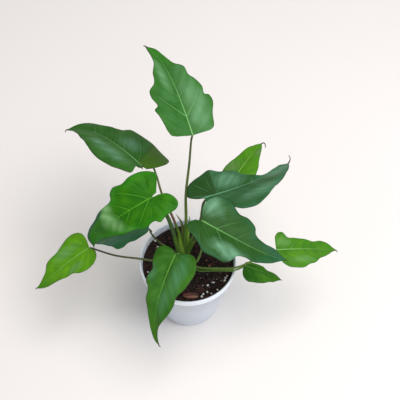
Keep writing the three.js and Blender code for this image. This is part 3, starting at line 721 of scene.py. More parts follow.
class Blade:
    """The middle surface of a leaf blade, and the small relief on it."""

    def __init__(self, leaf, look):
        self.leaf = leaf
        self.look = look
        base, tip = Vector(leaf["base"]), Vector(leaf["tip"])
        forward = tip - base
        self.length = forward.length
        forward.normalize()
        level = forward.cross(Vector((0, 0, 1))).normalized()
        self.right = Matrix.Rotation(math.radians(leaf["roll"]), 3, forward) @ level
        up = self.right.cross(forward)
        middle = (base + tip) / 2 + up * (2 * leaf["arch"]) + self.right * (2 * leaf["sweep"])
        self.way = (base, middle, tip)

    def midrib(self, t):
        a, b, c = self.way
        return a * (1 - t) ** 2 + b * (2 * t * (1 - t)) + c * t ** 2

    def tangent(self, t):
        a, b, c = self.way
        return ((b - a) * (1 - t) + (c - b) * t).normalized()

    def point(self, x, y, lift=0.0):
        """A point x along the midrib and y out to the right, raised by lift."""
        t = clamp(x / self.length, 0, 1)
        tangent = self.tangent(t)
        across = Matrix.Rotation(math.radians(self.leaf["twist"] * t), 3, tangent) @ self.right
        across = (across - tangent * across.dot(tangent)).normalized()
        outward = across.cross(tangent)
        half = 0 if y < 0 else 1
        rise = self.leaf["fold"][half] * (math.hypot(y, MIDRIB_ROUNDING) - MIDRIB_ROUNDING)
        sag = self.leaf["droop"][half] * y * y / self.length
        hook = self.leaf["hook"] * t ** 3 * (1 - t) / HOOK_PEAK
        spot = self.midrib(t) + tangent * min(x, 0)
        return spot + across * (y + hook) + outward * (rise - sag + lift)

    def vein_number(self, x, out, toward):
        """0 on the first side vein and 1 more on each next one towards the tip. Behind the first,
        the veins fan out from the notch into the lobe, numbered down from 0. At the notch itself
        toward, a point on the edge, says which of them is meant."""
        edge = LINE_SLANT * out + VEIN_BEND * out * out
        if x > 0 and x >= edge:
            even = (x - edge) / self.look["vein_gap"]
            seed = self.look["seed"]
            return even + VEIN_SHIFT * math.sin(1.7 * even + seed) - VEIN_SHIFT * math.sin(seed)
        if math.hypot(x, out) < 1e-6:
            x, out = toward
        first = math.atan2(1, LINE_SLANT + VEIN_BEND * out)
        return min(0.0, (first - math.atan2(out, x)) / FAN_STEP)

    def relief(self, x, y, number, share):
        """The skin swells between the side veins, and the edge is waved."""
        out = abs(y)
        shoulder = ramp(out, 1.5, 9) * ramp(math.hypot(x, out), 5, 16) * (1 - 0.5 * share)
        patchy = 0.75 + 0.9 * noise.noise(Vector((x / 22, y / 14, self.look["seed"] * 3.1)))
        swell = self.look["pucker"] * math.sin(math.pi * number) ** 2 * shoulder * max(patchy, 0.1)
        turn = self.look["seed"] + (2 if y < 0 else 0)
        wave = 0.7 * math.sin(2.3 * number + turn) * share ** 4 * ramp(out, 2, 8)
        lump = noise.noise(Vector((x / 16, y / 16, turn * 7.3))) * 0.6 * ramp(out, 1, 8)
        return swell + wave + lump

    def columns(self, side):
        """For one half, lists of points from the midrib to the edge: (x, y, distance to the edge,
        point on the edge, share of the way out)."""
        edge = self.leaf["left" if side < 0 else "right"]
        feet = self.line_feet()
        knots = vectors(edge) + [Vector((self.length, 0))]
        stretches = len(knots) - 1
        made = []
        for i in range(stretches * COLUMNS_PER_STRETCH + 1):
            share = i / (stretches * COLUMNS_PER_STRETCH)
            margin = smooth_way(knots, share)
            spot = share * stretches
            k = min(int(spot), stretches - 1)
            foot = lerp(feet[k], feet[k + 1], spot - k)
            out = max(margin.y, 0.0)
            line = math.hypot(margin.x - foot, out)
            rows = []
            for row in range(BLADE_ROWS + 1):
                reach = row / BLADE_ROWS
                x = lerp(foot, margin.x, reach)
                rows.append((x, side * out * reach, line * (1 - reach), margin, reach))
            made.append(rows)
        return made

    def line_feet(self):
        """Where each line of the mesh leaves the midrib, the same for both halves."""
        feet = []
        for i, (left, right) in enumerate(zip(self.leaf["left"], self.leaf["right"])):
            along = (left[0] + right[0]) / 2 - LINE_SLANT * (left[1] + right[1]) / 2
            feet.append(0.0 if i < LOBE_LINES else max(feet[-1], along))
        return [*feet, self.length]


def merged(points, faces, corners):
    """Points that lie together become one, and faces lose the corners that this doubles."""
    seen = {}
    kept = []
    number = []
    for p in points:
        key = tuple(round(c, 3) for c in p)
        if key not in seen:
            seen[key] = len(kept)
            kept.append(p)
        number.append(seen[key])
    new_faces = []
    new_corners = []
    for face, places in zip(faces, corners):
        ring = []
        for i, place in zip(face, places):
            if not ring or number[i] != ring[-1][0]:
                ring.append((number[i], place))
        if len(ring) > 1 and ring[0][0] == ring[-1][0]:
            ring.pop()
        if len({i for i, _ in ring}) == len(ring) > 2:
            new_faces.append([i for i, _ in ring])
            new_corners.append([place for _, place in ring])
    return kept, new_faces, new_corners


def point_normals(points, faces):
    normals = [Vector((0, 0, 0)) for _ in points]
    for face in faces:
        a, b, c = points[face[0]], points[face[1]], points[face[2]]
        normal = (b - a).cross(c - a)
        if len(face) == 4:
            normal = (points[face[2]] - a).cross(points[face[3]] - b)
        for i in face:
            normals[i] += normal
    return [n.normalized() for n in normals]


def blade_surface(blade):
    """The middle surface of a blade, with its halves joined, as points, faces and corners."""
    points = []
    faces = []
    corners = []
    for side in (-1, 1):
        first = len(points)
        columns = blade.columns(side)
        rows = len(columns[0])
        marks = []
        for column in columns:
            for x, y, rim, margin, reach in column:
                number = blade.vein_number(x, abs(y), (margin.x, max(margin.y, 1e-3)))
                points.append(blade.point(x, y, blade.relief(x, y, number, reach)))
                marks.append((x / blade.length, y / CM, number, rim / CM))
        for k in range(len(columns) - 1):
            for row in range(rows - 1):
                quad = [k * rows + row, k * rows + row + 1, (k + 1) * rows + row + 1, (k + 1) * rows + row]
                if side < 0:
                    quad.reverse()
                faces.append([first + i for i in quad])
                corners.append([marks[i] for i in quad])
    return merged(points, faces, corners)


def open_edges(faces, corners):
    """The edges that only one face has, (from, to), each with its two corners."""
    edges = {}
    for face, places in zip(faces, corners):
        for j, i in enumerate(face):
            n = (j + 1) % len(face)
            if (face[n], i) in edges:
                del edges[(face[n], i)]
            else:
                edges[(i, face[n])] = (places[j], places[n])
    return edges


def blade_shell(blade):
    """A leaf blade with an upper skin, a lower skin with its raised rib, and a closed edge. Finish 0
    is above and on the edge, and 1 below."""
    points, faces, corners = blade_surface(blade)
    normals = point_normals(points, faces)
    ribs = [0.0] * len(points)
    for face, places in zip(faces, corners):
        for i, (along, out, _, _) in zip(face, places):
            ribs[i] = RIB_DEPTH * (1 - 0.85 * clamp(along, 0, 1)) * math.exp(-((out * CM / RIB_WIDTH) ** 2))
    upper = [p + n * BLADE_THICKNESS / 2 for p, n in zip(points, normals)]
    lower = [p - n * (BLADE_THICKNESS / 2 + rib) for p, n, rib in zip(points, normals, ribs)]
    count = len(points)
    edges = open_edges(faces, corners)
    shell = Shell()
    shell.add(upper, faces, corners)
    shell.add(lower, [face[::-1] for face in faces], [places[::-1] for places in corners], 1)
    walls = [[a, a + count, b + count, b] for a, b in edges]
    shell.add_faces(walls, [[start, start, end, end] for start, end in edges.values()])
    return shell


def drip_tip(blade):
    """The thin curl that carries on from the end of the blade, and the skin's end colour with it."""
    end = blade.midrib(1)
    start = blade.point(blade.length - 3, 0)
    way = even_way([start, end] + [end + spot for spot in vectors(blade.look["curl"])], THIN_STEP)
    points, faces, corners = stem(way, taper(way, blade.look["drip"], DRIP_END), THIN_SIDES)
    return points, faces, [[(1.0 + place[1] * 0.05, 0.5, 0, 0.5) for place in ring] for ring in corners]


def stalk_way(leaf, blade):
    """The stalk's way from inside the crown to the underside of the notch."""
    base = Vector(leaf["base"])
    forward = blade.tangent(0)
    up = blade.right.cross(forward).normalized()
    start = Vector((*CROWN_FOOT, CROWN_HEART))
    neck = base - up * NECK_LENGTH - forward * NECK_LENGTH / 2
    return [start, *vectors(leaf["stalk"]), neck, base - up * 0.4]


def leaf_skin(name, look):
    """The upper skin: light midrib and side veins, fine lines between them, a painted sheen in pale
    patches, a fresher tip, a thin dark edge and a satin wax. A lobe that folds away and an edge
    that turns down get painted shade, and the lobe's crease a painted shadow line."""
    skin = Finish(f"leaf_skin_{name}", Specular_IOR_Level=look.get("sheen", 0.15))
    along, out = skin.spots("along")
    number, rim = skin.spots("across")
    spot = skin.place()
    cloud = skin.grain(spot, 60, 3)
    speck = skin.grain(spot, 420, 2)
    streak = skin.grain(spot, 150, 3)
    off = (number + 0.5).part() - 0.5
    inner = 1 - out.size().fade(0.2, 2.6)
    side_vein = 1 - (off.size() * (look["vein_gap"] / CM)).fade(0.0, VEIN_EDGE)
    side_vein = side_vein * rim.fade(0.1, 1.2) * (0.35 + inner * 0.65)
    between = (off.size() * 2).fade(0.1, 0.9)
    fine = ((number * FINE_LINES + cloud * 4).part() - 0.5).size() * 2
    midrib = 1 - (out.size() - (0.075 - along * 0.06)).fade(-0.035, 0.03)
    tone = between * 0.35 * out.size().fade(0.0, 0.9) + cloud.fade(0.34, 0.66) * 0.65
    # Painted sheen: pale patches stand in for light reflected off the wax
    patches = []
    for place, aside, reach, width in look["patches"]:
        past = along - place + (out - aside) ** 2 * look.get("bow", 0)
        far = ((past / reach) ** 2 + ((out - aside) / width) ** 2) ** 0.5
        patches.append(1 - (far + cloud * 1.1 - 0.5).fade(0.1, 1.05))
    layers = [
        ((1 - rim.fade(0.1, 1.1)) * cloud.fade(0.3, 0.6) * 0.6, look["fresh"]),
        (along.fade(0.6, 1.0) * 0.8, look["fresh"]),
        (sum(patches) * (0.36 + between * 0.27 + streak * 0.52), look["painted_sheen"]),
    ]
    # Painted shade on the strip of edge that turns down, away from the light
    if "turned" in look:
        side, start, tint = look["turned"]
        turned_shade = (1 - rim.fade(0.35, 0.5)) * (out * side).fade(-0.2, 0.1) * along.fade(start, start + 0.1)
        layers.append((turned_shade * 0.85, tint))
    # Painted shade on the basal lobe that folds away, and a painted shadow line along its crease
    if "lobe" in look:
        side, tint, lean = look["lobe"]
        past = along - (out * side) * lean
        half = (out * side).fade(-0.05, 0.15)
        layers.append(((1 - past.fade(-0.01, 0.008)) * half * 0.85, tint))
        layers.append(((1 - past.size().fade(0.0, 0.014)) * half * 0.5, LEAF_EDGE_AND_CREASE_SHADOW))
    strength = look.get("veins", 0.6) * (1 - along.fade(0.2, 0.9) * 0.75)
    worn = (1 - rim.fade(0.015, 0.09)) * cloud.fade(0.3, 0.55)
    layers += [
        (fine.fade(0.1, 0.9) * 0.07, look["vein"]),
        (side_vein * strength, look["vein"]),
        (midrib * (look.get("midrib", 0.9) - along * 0.7), look["vein"]),
        (worn * look.get("margin", 0.6), LEAF_EDGE_AND_CREASE_SHADOW),
        (along.fade(0.985, 1.015) * 0.9, DRIP_TIP),
    ]
    colour = skin.cover(skin.mix(tone, look["deep"], look["skin"]), *layers)
    rough = 0.38 + cloud * 0.14 + speck * 0.06
    height = 0.6 - side_vein * 0.45 - midrib * 0.35 + fine * 0.05 + speck * 0.12
    return skin.finish(colour, rough, height, 0.0006)


def leaf_underside():
    """The lower skin is paler and duller, with its veins raised."""
    skin = Finish("leaf_underside", Specular_IOR_Level=0.35)
    along, out = skin.spots("along")
    number, rim = skin.spots("across")
    cloud = skin.grain(skin.place(), 70, 3)
    off = (number + 0.5).part() - 0.5
    side_vein = (1 - (off.size() * 1.4).fade(0.0, 0.09)) * rim.fade(0.05, 0.8)
    midrib = 1 - (out.size() - (0.12 - along * 0.08)).fade(-0.04, 0.04)
    colour = skin.cover(
        skin.mix(cloud, *UNDERSIDE),
        (side_vein * 0.5, UNDERSIDE_VEIN),
        (midrib * 0.85, UNDERSIDE_VEIN),
        ((1 - rim.fade(0.02, 0.08)) * 0.5, LEAF_EDGE_AND_CREASE_SHADOW),
    )
    return skin.finish(colour, 0.55 + cloud * 0.1, 0.3 + side_vein * 0.4 + midrib * 0.3, 0.0005)


def stalk_skin(name, foot, top):
    """A stalk: fine streaks along it, faint blotches, and its colour changes from foot to top."""
    skin = Finish(f"stalk_skin_{name}", Specular_IOR_Level=0.45)
    _, along = skin.spots("along")
    blotch = skin.grain(skin.place(), 160, 3)
    streak = skin.grain(skin.place((1, 1, 0.12)), 900, 2)
    colour = skin.cover(
        skin.mix(along.fade(0.0, 0.9), foot, top),
        (blotch.fade(0.45, 0.75) * 0.3, STALK_BLOTCH),
        (streak.fade(0.5, 0.8) * 0.25, STALK_STREAK),
    )
    return skin.finish(colour, 0.42 + blotch * 0.16, streak, 0.0003)


def sheath_skin(name, foot, top, dry):
    """A sheath: pale lines along it, darker blotches, and dry from a share of its length on."""
    skin = Finish(f"sheath_skin_{name}", Specular_IOR_Level=0.4)
    around, along = skin.spots("along")
    lines = ((around * SHEATH_LINES).part() - 0.5).size() * 2
    blotch = skin.grain(skin.place(), 190, 3)
    colour = skin.cover(
        skin.mix(along.fade(0.0, 0.7), foot, top),
        (lines.fade(0.2, 0.9) * 0.2, SHEATH_LINE),
        (blotch.fade(0.5, 0.75) * 0.3, SHEATH_BLOTCH),
        (along.fade(dry, dry + 0.4) * 0.8, SHEATH_DRY),
    )
    return skin.finish(colour, 0.45 + blotch * 0.2, lines * 0.6 + blotch * 0.4, 0.0004)


def pot_finish():
    """White moulded plastic, with soil dust inside the rim and faint scuffs outside. The wall below
    the band is painted darker as shade, the band lighter as light, and the inside a lilac shade.
    """
    white = Finish("white_pot_plastic", Specular_IOR_Level=0.5, Coat_Weight=0.15, Coat_Roughness=0.12)
    spot = white.place()
    axes = white.node("ShaderNodeSeparateXYZ", None, {0: spot})
    x, y, z = [Wire(white, axes.outputs[i]) for i in range(3)]
    reach = (x * x + y * y) ** 0.5
    soft = white.grain(spot, 26, 3)
    dust = white.grain(spot, 520, 4, 0.65)
    scuff = white.grain(white.place((1, 1, 5)), 90, 4, 0.7)
    wall = z * ((NECK_RADIUS - FOOT_RADIUS) / BAND_BOTTOM) + (FOOT_RADIUS - WALL / 2) * MM
    inside = 1 - (reach - wall).fade(-0.0006, 0.0006)
    near_soil = 1 - z.fade((SOIL_LEVEL - 3) * MM, (POT_HEIGHT - 1.5) * MM)
    # The wall's colour is painted darker as shade, and the band above it lighter as light
    colour = white.cover(
        white.mix(soft, *POT_WALL_SHADED),
        (z.fade((BAND_BOTTOM - 3.5) * MM, (BAND_BOTTOM + 1.5) * MM), POT_BAND_LIT),
        # Painted lilac shade on the pot's inner wall
        (inside * 0.15, POT_INSIDE_SHADE),
        (inside * near_soil * dust.fade(0.46, 0.6) * 0.8, POT_DUST),
        (scuff.fade(0.62, 0.8) * 0.12, POT_SCUFF),
    )
    rough = 0.26 + soft * 0.08 + inside * 0.2 + scuff.fade(0.55, 0.8) * 0.12
    return white.finish(colour, rough, soft * 0.8 + dust * 0.2, 0.0004)


def soil_finish(name, dark, light, warm, coarse):
    """Moist potting mix, dark with a few lighter and redder grains."""
    soil = Finish(name, Specular_IOR_Level=0.35)
    spot = soil.place()
    patch = soil.grain(spot, coarse, 2)
    fibre = soil.grain(spot, coarse * 6, 4, 0.7)
    tint = soil.grain(soil.place((1, 1.3, 0.9)), coarse * 0.7, 1)
    colour = soil.cover(soil.mix(patch.fade(0.42, 0.66), dark, light), (tint.fade(0.56, 0.66) * 0.7, warm))
    return soil.finish(colour, 0.72 + fibre * 0.25, fibre, 0.0006)


def bark_finish():
    """Red bark with its grain along the chip."""
    bark = Finish("red_bark", Specular_IOR_Level=0.35)
    grain = bark.grain(bark.place((0.16, 1, 1)), 900, 4, 0.65)
    patch = bark.grain(bark.place(), 260, 3)
    streak = bark.grain(bark.place((0.1, 1, 1)), 360, 2)
    colour = bark.cover(
        bark.mix(grain.fade(0.35, 0.65), *BARK),
        (patch.fade(0.5, 0.8) * 0.5, BARK_PATCH),
        (streak.fade(0.5, 0.6) * 0.65, BARK_STREAK),
    )
    return bark.finish(colour, 0.65 + patch * 0.25, grain, 0.0006)


def perlite_finish():
    """White perlite, pitted and a little stained."""
    white = Finish("perlite_white", Specular_IOR_Level=0.4)
    spot = white.place()
    pore = white.grain(spot, 1500, 3, 0.6)
    stain = white.grain(spot, 300, 2)
    colour = white.mix(pore.fade(0.35, 0.6), *PERLITE)
    colour = white.cover(colour, (stain.fade(0.52, 0.72) * 0.35, PERLITE_STAIN))
    return white.finish(colour, 0.7 + pore * 0.2, pore, 0.0005)


def turned(profile, sides, lift=None):
    """A closed body turned from a profile of (radius, height) that starts and ends on the axis.
    lift(x, y, z) moves a point up or down."""
    points = []
    for r, z in profile:
        for k in range(sides):
            angle = 2 * math.pi * k / sides
            x, y = r * math.cos(angle), r * math.sin(angle)
            points.append(Vector((x, y, z + (lift(x, y, z) if lift else 0))))
    return merged(points, *ring_walls(len(profile), sides, lambda i, share: (share, i, 0, 0)))


def inner_radius(z):
    """The pot's inner radius at a height."""
    return lerp(FOOT_RADIUS, NECK_RADIUS, z / BAND_BOTTOM) - WALL


def arc(centre_r, centre_z, radius, start, end, steps=5):
    """Points of a rounded corner in a profile, between two angles in degrees."""
    made = []
    for i in range(steps + 1):
        angle = math.radians(lerp(start, end, i / steps))
        made.append((centre_r + radius * math.cos(angle), centre_z + radius * math.sin(angle)))
    return made


def pot_profile():
    """From the middle of the underside, up the outside, over the lip and down the inside."""
    lip = RIM_RADIUS - EDGE_ROUNDING
    return [
        (0, 0), (FOOT_RADIUS - 6, 0), (FOOT_RADIUS - 5, 0.4), (FOOT_RADIUS - 4, 0), (FOOT_RADIUS - 1.4, 0),
        *arc(FOOT_RADIUS - EDGE_ROUNDING, EDGE_ROUNDING, EDGE_ROUNDING, -80, 0), (FOOT_RADIUS + 0.8, 4),
        (lerp(FOOT_RADIUS, NECK_RADIUS, 0.5), BAND_BOTTOM / 2), (NECK_RADIUS - 0.2, BAND_BOTTOM - 0.8),
        *arc(BAND_RADIUS - 0.7, BAND_BOTTOM + BAND_ROUNDING, BAND_ROUNDING, -90, 0, 4),
        (BAND_RADIUS + 0.1, BAND_BOTTOM + 4),
        *arc(lip, POT_HEIGHT - EDGE_ROUNDING, EDGE_ROUNDING, 0, 180, 10),
        (inner_radius(BAND_BOTTOM) + 0.9, POT_HEIGHT - 2.5), (inner_radius(BAND_BOTTOM), BAND_BOTTOM),
        (inner_radius(45), 45), (inner_radius(6), 6), (inner_radius(0) - 2, BASE_THICKNESS),
        (DRAIN_CIRCLE, BASE_THICKNESS), (0, BASE_THICKNESS),
    ]


def drain_drill():
    """Round rods through the base, one for each drain hole."""
    rod, faces, corners = turned([(0, -4), (DRAIN_RADIUS, -4), (DRAIN_RADIUS, 6), (0, 6)], DRAIN_SIDES)
    shell = Shell()
    for i in range(DRAIN_COUNT):
        angle = 2 * math.pi * i / DRAIN_COUNT
        aside = Vector((DRAIN_CIRCLE * math.cos(angle), DRAIN_CIRCLE * math.sin(angle), 0))
        shell.add([p + aside for p in rod], faces, corners)
    return shell.piece("drain_drill", [])


def make_pot():
    shell = Shell()
    shell.add(*turned(pot_profile(), POT_SIDES))
    pot = shell.piece("pot_shell", [pot_finish()])
    drill = drain_drill()
    cut = pot.modifiers.new("drain_holes", "BOOLEAN")
    cut.object = drill
    cut.operation = "DIFFERENCE"
    cut.solver = "EXACT"
    harden(pot)
    bpy.data.objects.remove(drill)
    pot.data.set_sharp_from_angle(angle=math.radians(SHARP_ANGLE))
    return settle(pot, "pot_white", "pot")


def soil_height(x, y):
    """How far the soil stands above its level, level under the bark chip."""
    waves = math.sin(x * 0.31 + 1) * math.cos(y * 0.27) + 0.6 * math.sin(x * 0.13 - y * 0.19 + 2)
    to_chip = math.hypot(x - CHIP_CENTRE[0], (y - CHIP_CENTRE[1]) * 1.6)
    free = clamp((to_chip - CHIP_REST) / 5, 0, 1)
    return SOIL_RELIEF * 0.6 * waves * free


def soil_lift(x, y, z):
    """How far a point of the soil's body is lifted: waves and lumps on its top, and none at its rim
    or below."""
    rim = inner_radius(SOIL_LEVEL) - SOIL_GAP
    reach = math.hypot(x, y)
    if z < SOIL_LEVEL or reach > rim - 0.5:
        return 0
    lumps = noise.fractal(Vector((x, y, 3)) / LUMP_SIZE, 0.8, 2.1, 4) * LUMP_HEIGHT
    return soil_height(x, y) + lumps * ramp(rim - reach, 0, 3) * ramp(math.dist((x, y), CHIP_CENTRE), 9, 13)


def make_soil(dark_soil):
    rim = inner_radius(SOIL_LEVEL) - SOIL_GAP
    profile = [
        (0, BASE_THICKNESS + SOIL_GAP), (inner_radius(0) - 2.5, BASE_THICKNESS + SOIL_GAP),
        (inner_radius(7) - SOIL_GAP, 7), (inner_radius(45) - SOIL_GAP, 45), (rim, SOIL_LEVEL),
    ]
    profile += [(rim * (SOIL_RINGS - i) / SOIL_RINGS, SOIL_LEVEL) for i in range(1, SOIL_RINGS + 1)]
    shell = Shell()
    shell.add(*turned(profile, SOIL_SIDES, soil_lift))
    return settle(shell.piece("soil_bed", [dark_soil]), "potting_soil", "soil")


def dice(board, low, high, seed):
    """A random number or vector for each grain. The node has other sockets for each kind."""
    kind, first, output = ("FLOAT", 2, 1) if isinstance(low, float) else ("FLOAT_VECTOR", 0, 0)
    sockets = {first: low, first + 1: high, 8: seed}
    return board.wire("FunctionNodeRandomValue", output, {"data_type": kind}, sockets)


def grain_tree(name, scattered):
    """Nodes that set ragged grains on a bed: spaced over its faces, or one on each of its points."""
    tree = bpy.data.node_groups.new(name, "GeometryNodeTree")
    board = Board(tree)
    for label, kind in (
        ("Bed", "Geometry"), ("Spacing", "Float"), ("Grain Size", "Float"), ("Size Spread", "Float"),
        ("Flatness", "Float"), ("Raggedness", "Float"), ("Seed", "Int"), ("Finish", "Material"),
    ):
        tree.interface.new_socket(name=label, in_out="INPUT", socket_type=f"NodeSocket{kind}")
    tree.interface.new_socket(name="Grains", in_out="OUTPUT", socket_type="NodeSocketGeometry")
    given = board.node("NodeGroupInput")
    wires = {socket.name: Wire(board, socket) for socket in given.outputs if socket.name}
    spots = wires["Bed"]
    seed = wires["Seed"]
    if scattered:
        spots = board.wire("GeometryNodeDistributePointsOnFaces", 0, {"distribute_method": "POISSON"}, {
            "Mesh": spots, "Distance Min": wires["Spacing"], "Density Max": GRAIN_DENSITY, "Seed": seed,
        })
    ball = board.wire("GeometryNodeMeshIcoSphere", 0, None, {"Radius": 1.0, "Subdivisions": 2})
    turn = dice(board, (0, 0, 0), (0.9, 0.9, 6.3), seed)
    shape = dice(board, (0.8, 0.6, 0.7), (1.4, 1.1, 1.1), seed + 3)
    share = dice(board, -1.0, 1.0, seed + 5)
    size = wires["Grain Size"] * (1 + share * wires["Size Spread"])
    flat = board.wire("ShaderNodeCombineXYZ", 0, None, {0: size, 1: size, 2: size * wires["Flatness"]})
    scale = board.wire("ShaderNodeVectorMath", 0, {"operation": "MULTIPLY"}, {0: shape, 1: flat})
    instances = {"Points": spots, "Instance": ball, "Rotation": turn, "Scale": scale}
    placed = board.wire("GeometryNodeInstanceOnPoints", 0, None, instances)
    real = board.wire("GeometryNodeRealizeInstances", 0, None, {0: placed})
    rough = board.wire("ShaderNodeTexNoise", "Color", None, {"Scale": GRAIN_RELIEF, "Detail": 2.0})
    centred = board.wire("ShaderNodeVectorMath", 0, {"operation": "SUBTRACT"}, {0: rough, 1: (0.5, 0.5, 0.5)})
    sockets = {0: centred, "Scale": wires["Raggedness"]}
    push = board.wire("ShaderNodeVectorMath", 0, {"operation": "SCALE"}, sockets)
    ragged = board.wire("GeometryNodeSetPosition", 0, None, {"Geometry": real, "Offset": push})
    sockets = {"Geometry": ragged, "Material": wires["Finish"]}
    dressed = board.wire("GeometryNodeSetMaterial", 0, None, sockets)
    end = board.node("NodeGroupOutput")
    tree.links.new(dressed.socket, end.inputs[0])
    return tree


def grow_grains(name, bed, tree, slot, **sizes):
    """A piece of grains on a bed mesh, with the tree's inputs given by name."""
    piece = put(name, bed)
    modifier = piece.modifiers.new("grains", "NODES")
    modifier.node_group = tree
    named = {key.replace("_", " "): value for key, value in sizes.items()}
    for item in tree.interface.items_tree:
        if item.in_out == "INPUT" and item.name in named:
            modifier[item.identifier] = named[item.name]
    return settle(harden(piece), slot)


def soil_patch():
    """The soil's open top, for crumbs to lie on, clear of the crown and the bark chip."""
    limit = inner_radius(SOIL_LEVEL) - RIM_CLEARANCE
    cells = range(-PATCH_REACH, PATCH_REACH, PATCH_STEP)
    points = []
    faces = []
    for x in cells:
        for y in cells:
            far_x, far_y = x + PATCH_STEP, y + PATCH_STEP
            middle = Vector((x + PATCH_STEP / 2, y + PATCH_STEP / 2))
            off_chip = any(abs(m - c) > gap for m, c, gap in zip(middle, CHIP_CENTRE, CHIP_CLEARANCE))
            off_crown = (middle - Vector(CROWN_FOOT)).length > CROWN_RADIUS
            if middle.length < limit and off_crown and off_chip:
                faces.append([len(points) + k for k in range(4)])
                corners = ((x, y), (far_x, y), (far_x, far_y), (x, far_y))
                points += [(a * MM, b * MM, soil_top(a, b) * MM) for a, b in corners]
    mesh = bpy.data.meshes.new("soil_patch")
    mesh.from_pydata(points, [], faces)
    return mesh


def soil_top(x, y):
    """The height of the soil's top."""
    return SOIL_LEVEL + soil_lift(x, y, SOIL_LEVEL)


def point_bed(name, places, lift):
    """Single points for grains, lifted above the soil."""
    mesh = bpy.data.meshes.new(name)
    mesh.from_pydata([(x * MM, y * MM, (soil_top(x, y) + lift) * MM) for x, y in places], [], [])
    return mesh


def dust_places():
    """Where the finest perlite lies, beside and behind the bark chip."""
    dots = random.Random(DUST_SEED)
    places = []
    for _ in range(DUST_COUNT):
        x, y = [centre + dots.uniform(*area) for centre, area in zip(CHIP_CENTRE, DUST_AREA)]
        if math.hypot(x, y) < DUST_LIMIT:
            places.append((x, y))
    return places


def make_grains(dark_soil, bark):
    scattered = grain_tree("scattered_grains", True)
    set_out = grain_tree("set_out_grains", False)
    patch = soil_patch()
    brown_soil = soil_finish("soil_brown_crumbs", *BROWN_SOIL, coarse=400)
    white = perlite_finish()
    grow_grains(
        "soil_crumbs", patch, scattered, "potting_soil", Spacing=2.1 * MM, Grain_Size=1.0 * MM,
        Size_Spread=0.5, Flatness=0.75, Raggedness=1.3 * MM, Seed=4, Finish=dark_soil,
    )
    grow_grains(
        "soil_lumps", patch.copy(), scattered, "potting_soil", Spacing=6.2 * MM, Grain_Size=1.7 * MM,
        Size_Spread=0.45, Flatness=0.7, Raggedness=1.7 * MM, Seed=9, Finish=brown_soil,
    )
    grow_grains(
        "bark_crumbs", point_bed("bark_places", BARK_CRUMB_PLACES, lift=0.8), set_out, "bark",
        Grain_Size=1.4 * MM, Size_Spread=0.4, Flatness=0.6, Raggedness=1.5 * MM, Seed=2, Finish=bark,
    )
    grow_grains(
        "perlite_grains", point_bed("perlite_places", PERLITE_PLACES, lift=0.9), set_out, "pot_white",
        Grain_Size=1.35 * MM, Size_Spread=0.4, Flatness=0.8, Raggedness=1.1 * MM, Seed=6, Finish=white,
    )
    grow_grains(
        "perlite_dust", point_bed("dust_places", dust_places(), lift=0.9), set_out, "pot_white",
        Grain_Size=0.42 * MM, Size_Spread=0.5, Flatness=0.8, Raggedness=0.5 * MM, Seed=3, Finish=white,
    )


def make_chip(bark):
    """The bark chip: its outline rounded, split along the grain and worn at the edge."""
    outline = vectors(CHIP_OUTLINE)
    loop = outline[-2:] + outline + outline[:3]
    turn = Matrix.Rotation(CHIP_TURN, 2)
    points = []
    for reach, height in CHIP_RINGS:
        for k in range(CHIP_SIDES):
            share = (2 + k / CHIP_SIDES * len(outline)) / (len(loop) - 1)
            edge = smooth_way(loop, share) * reach
            ridge = noise.noise(Vector((edge.x / 9, edge.y / 0.9, 5))) * 0.5 * (height > 0.4)
            spot = turn @ edge
            z = SOIL_LEVEL + SOIL_GAP + CHIP_THICKNESS * height + ridge
            points.append(Vector((spot.x + CHIP_CENTRE[0], spot.y + CHIP_CENTRE[1], z)))
    faces, corners = ring_walls(len(CHIP_RINGS), CHIP_SIDES, lambda i, share: (0, 0, 0, 0))
    downward = [[a, d, c, b] for a, b, c, d in faces]
    shell = Shell()
    shell.add(*merged(points, downward, corners))
    return settle(shell.piece("bark_chip_split", [bark]), "bark", "bark_chip")


def make_rootlets():
    root = stalk_skin("rootlet", *ROOTLET)
    shell = Shell()
    for spots in ROOTLETS:
        way = even_way(vectors(spots), THIN_STEP)
        shell.add(*stem(way, taper(way, *ROOTLET_RADII), THIN_SIDES))
    return settle(shell.piece("rootlets", [root]), "bark")


def sheath(way, radii, oval):
    """A stem that is widest across the way it leans."""
    lean = way[-1] - way[0]
    return stem(way, radii, SHEATH_SIDES, oval, lean.cross(Vector((0, 0, 1))).cross(lean))


def make_crown(blades):
    """The short stem with the stalks' sheathing feet round it, and young sheaths between them."""
    skins = [sheath_skin(name, *look) for name, look in SHEATH_LOOKS.items()]
    core, faces, corners = turned([
        (0, CROWN_BOTTOM), (CROWN_RADIUS * 0.6, CROWN_BOTTOM + 1), (CROWN_RADIUS, CROWN_BOTTOM + 7),
        (CROWN_RADIUS, CROWN_SHOULDER - 5), (CROWN_RADIUS * 0.75, CROWN_SHOULDER), (0, CROWN_SHOULDER + 3),
    ], CROWN_SIDES)
    foot = Vector((*CROWN_FOOT, 0))
    shell = Shell()
    shell.add([p + foot for p in core], faces, corners)
    for name, leaf in LEAVES.items():
        way = even_way(stalk_way(leaf, blades[name]), SHEATH_STEP)
        way = way[:max(4, round(leaf["sheath"] / SHEATH_STEP)) + 1]
        low, high = leaf["radius"][0] * SHEATH_SWELL, leaf["radius"][0] * 1.05
        radii = [lerp(low, high, ramp(i / (len(way) - 1), 0, 1)) for i in range(len(way))]
        shell.add(*sheath(way, radii, SHEATH_OVAL))
    for name, spots in YOUNG_SHEATHS.items():
        way = even_way(vectors(spots), YOUNG_STEP)
        radii = taper(way, *YOUNG_RADII, bend=1.2)
        shell.add(*sheath(way, radii, YOUNG_OVAL), finish=2 if name == "dry" else 1)
    return settle(shell.piece("crown_sheaths", skins), "sheath_green", "crown")


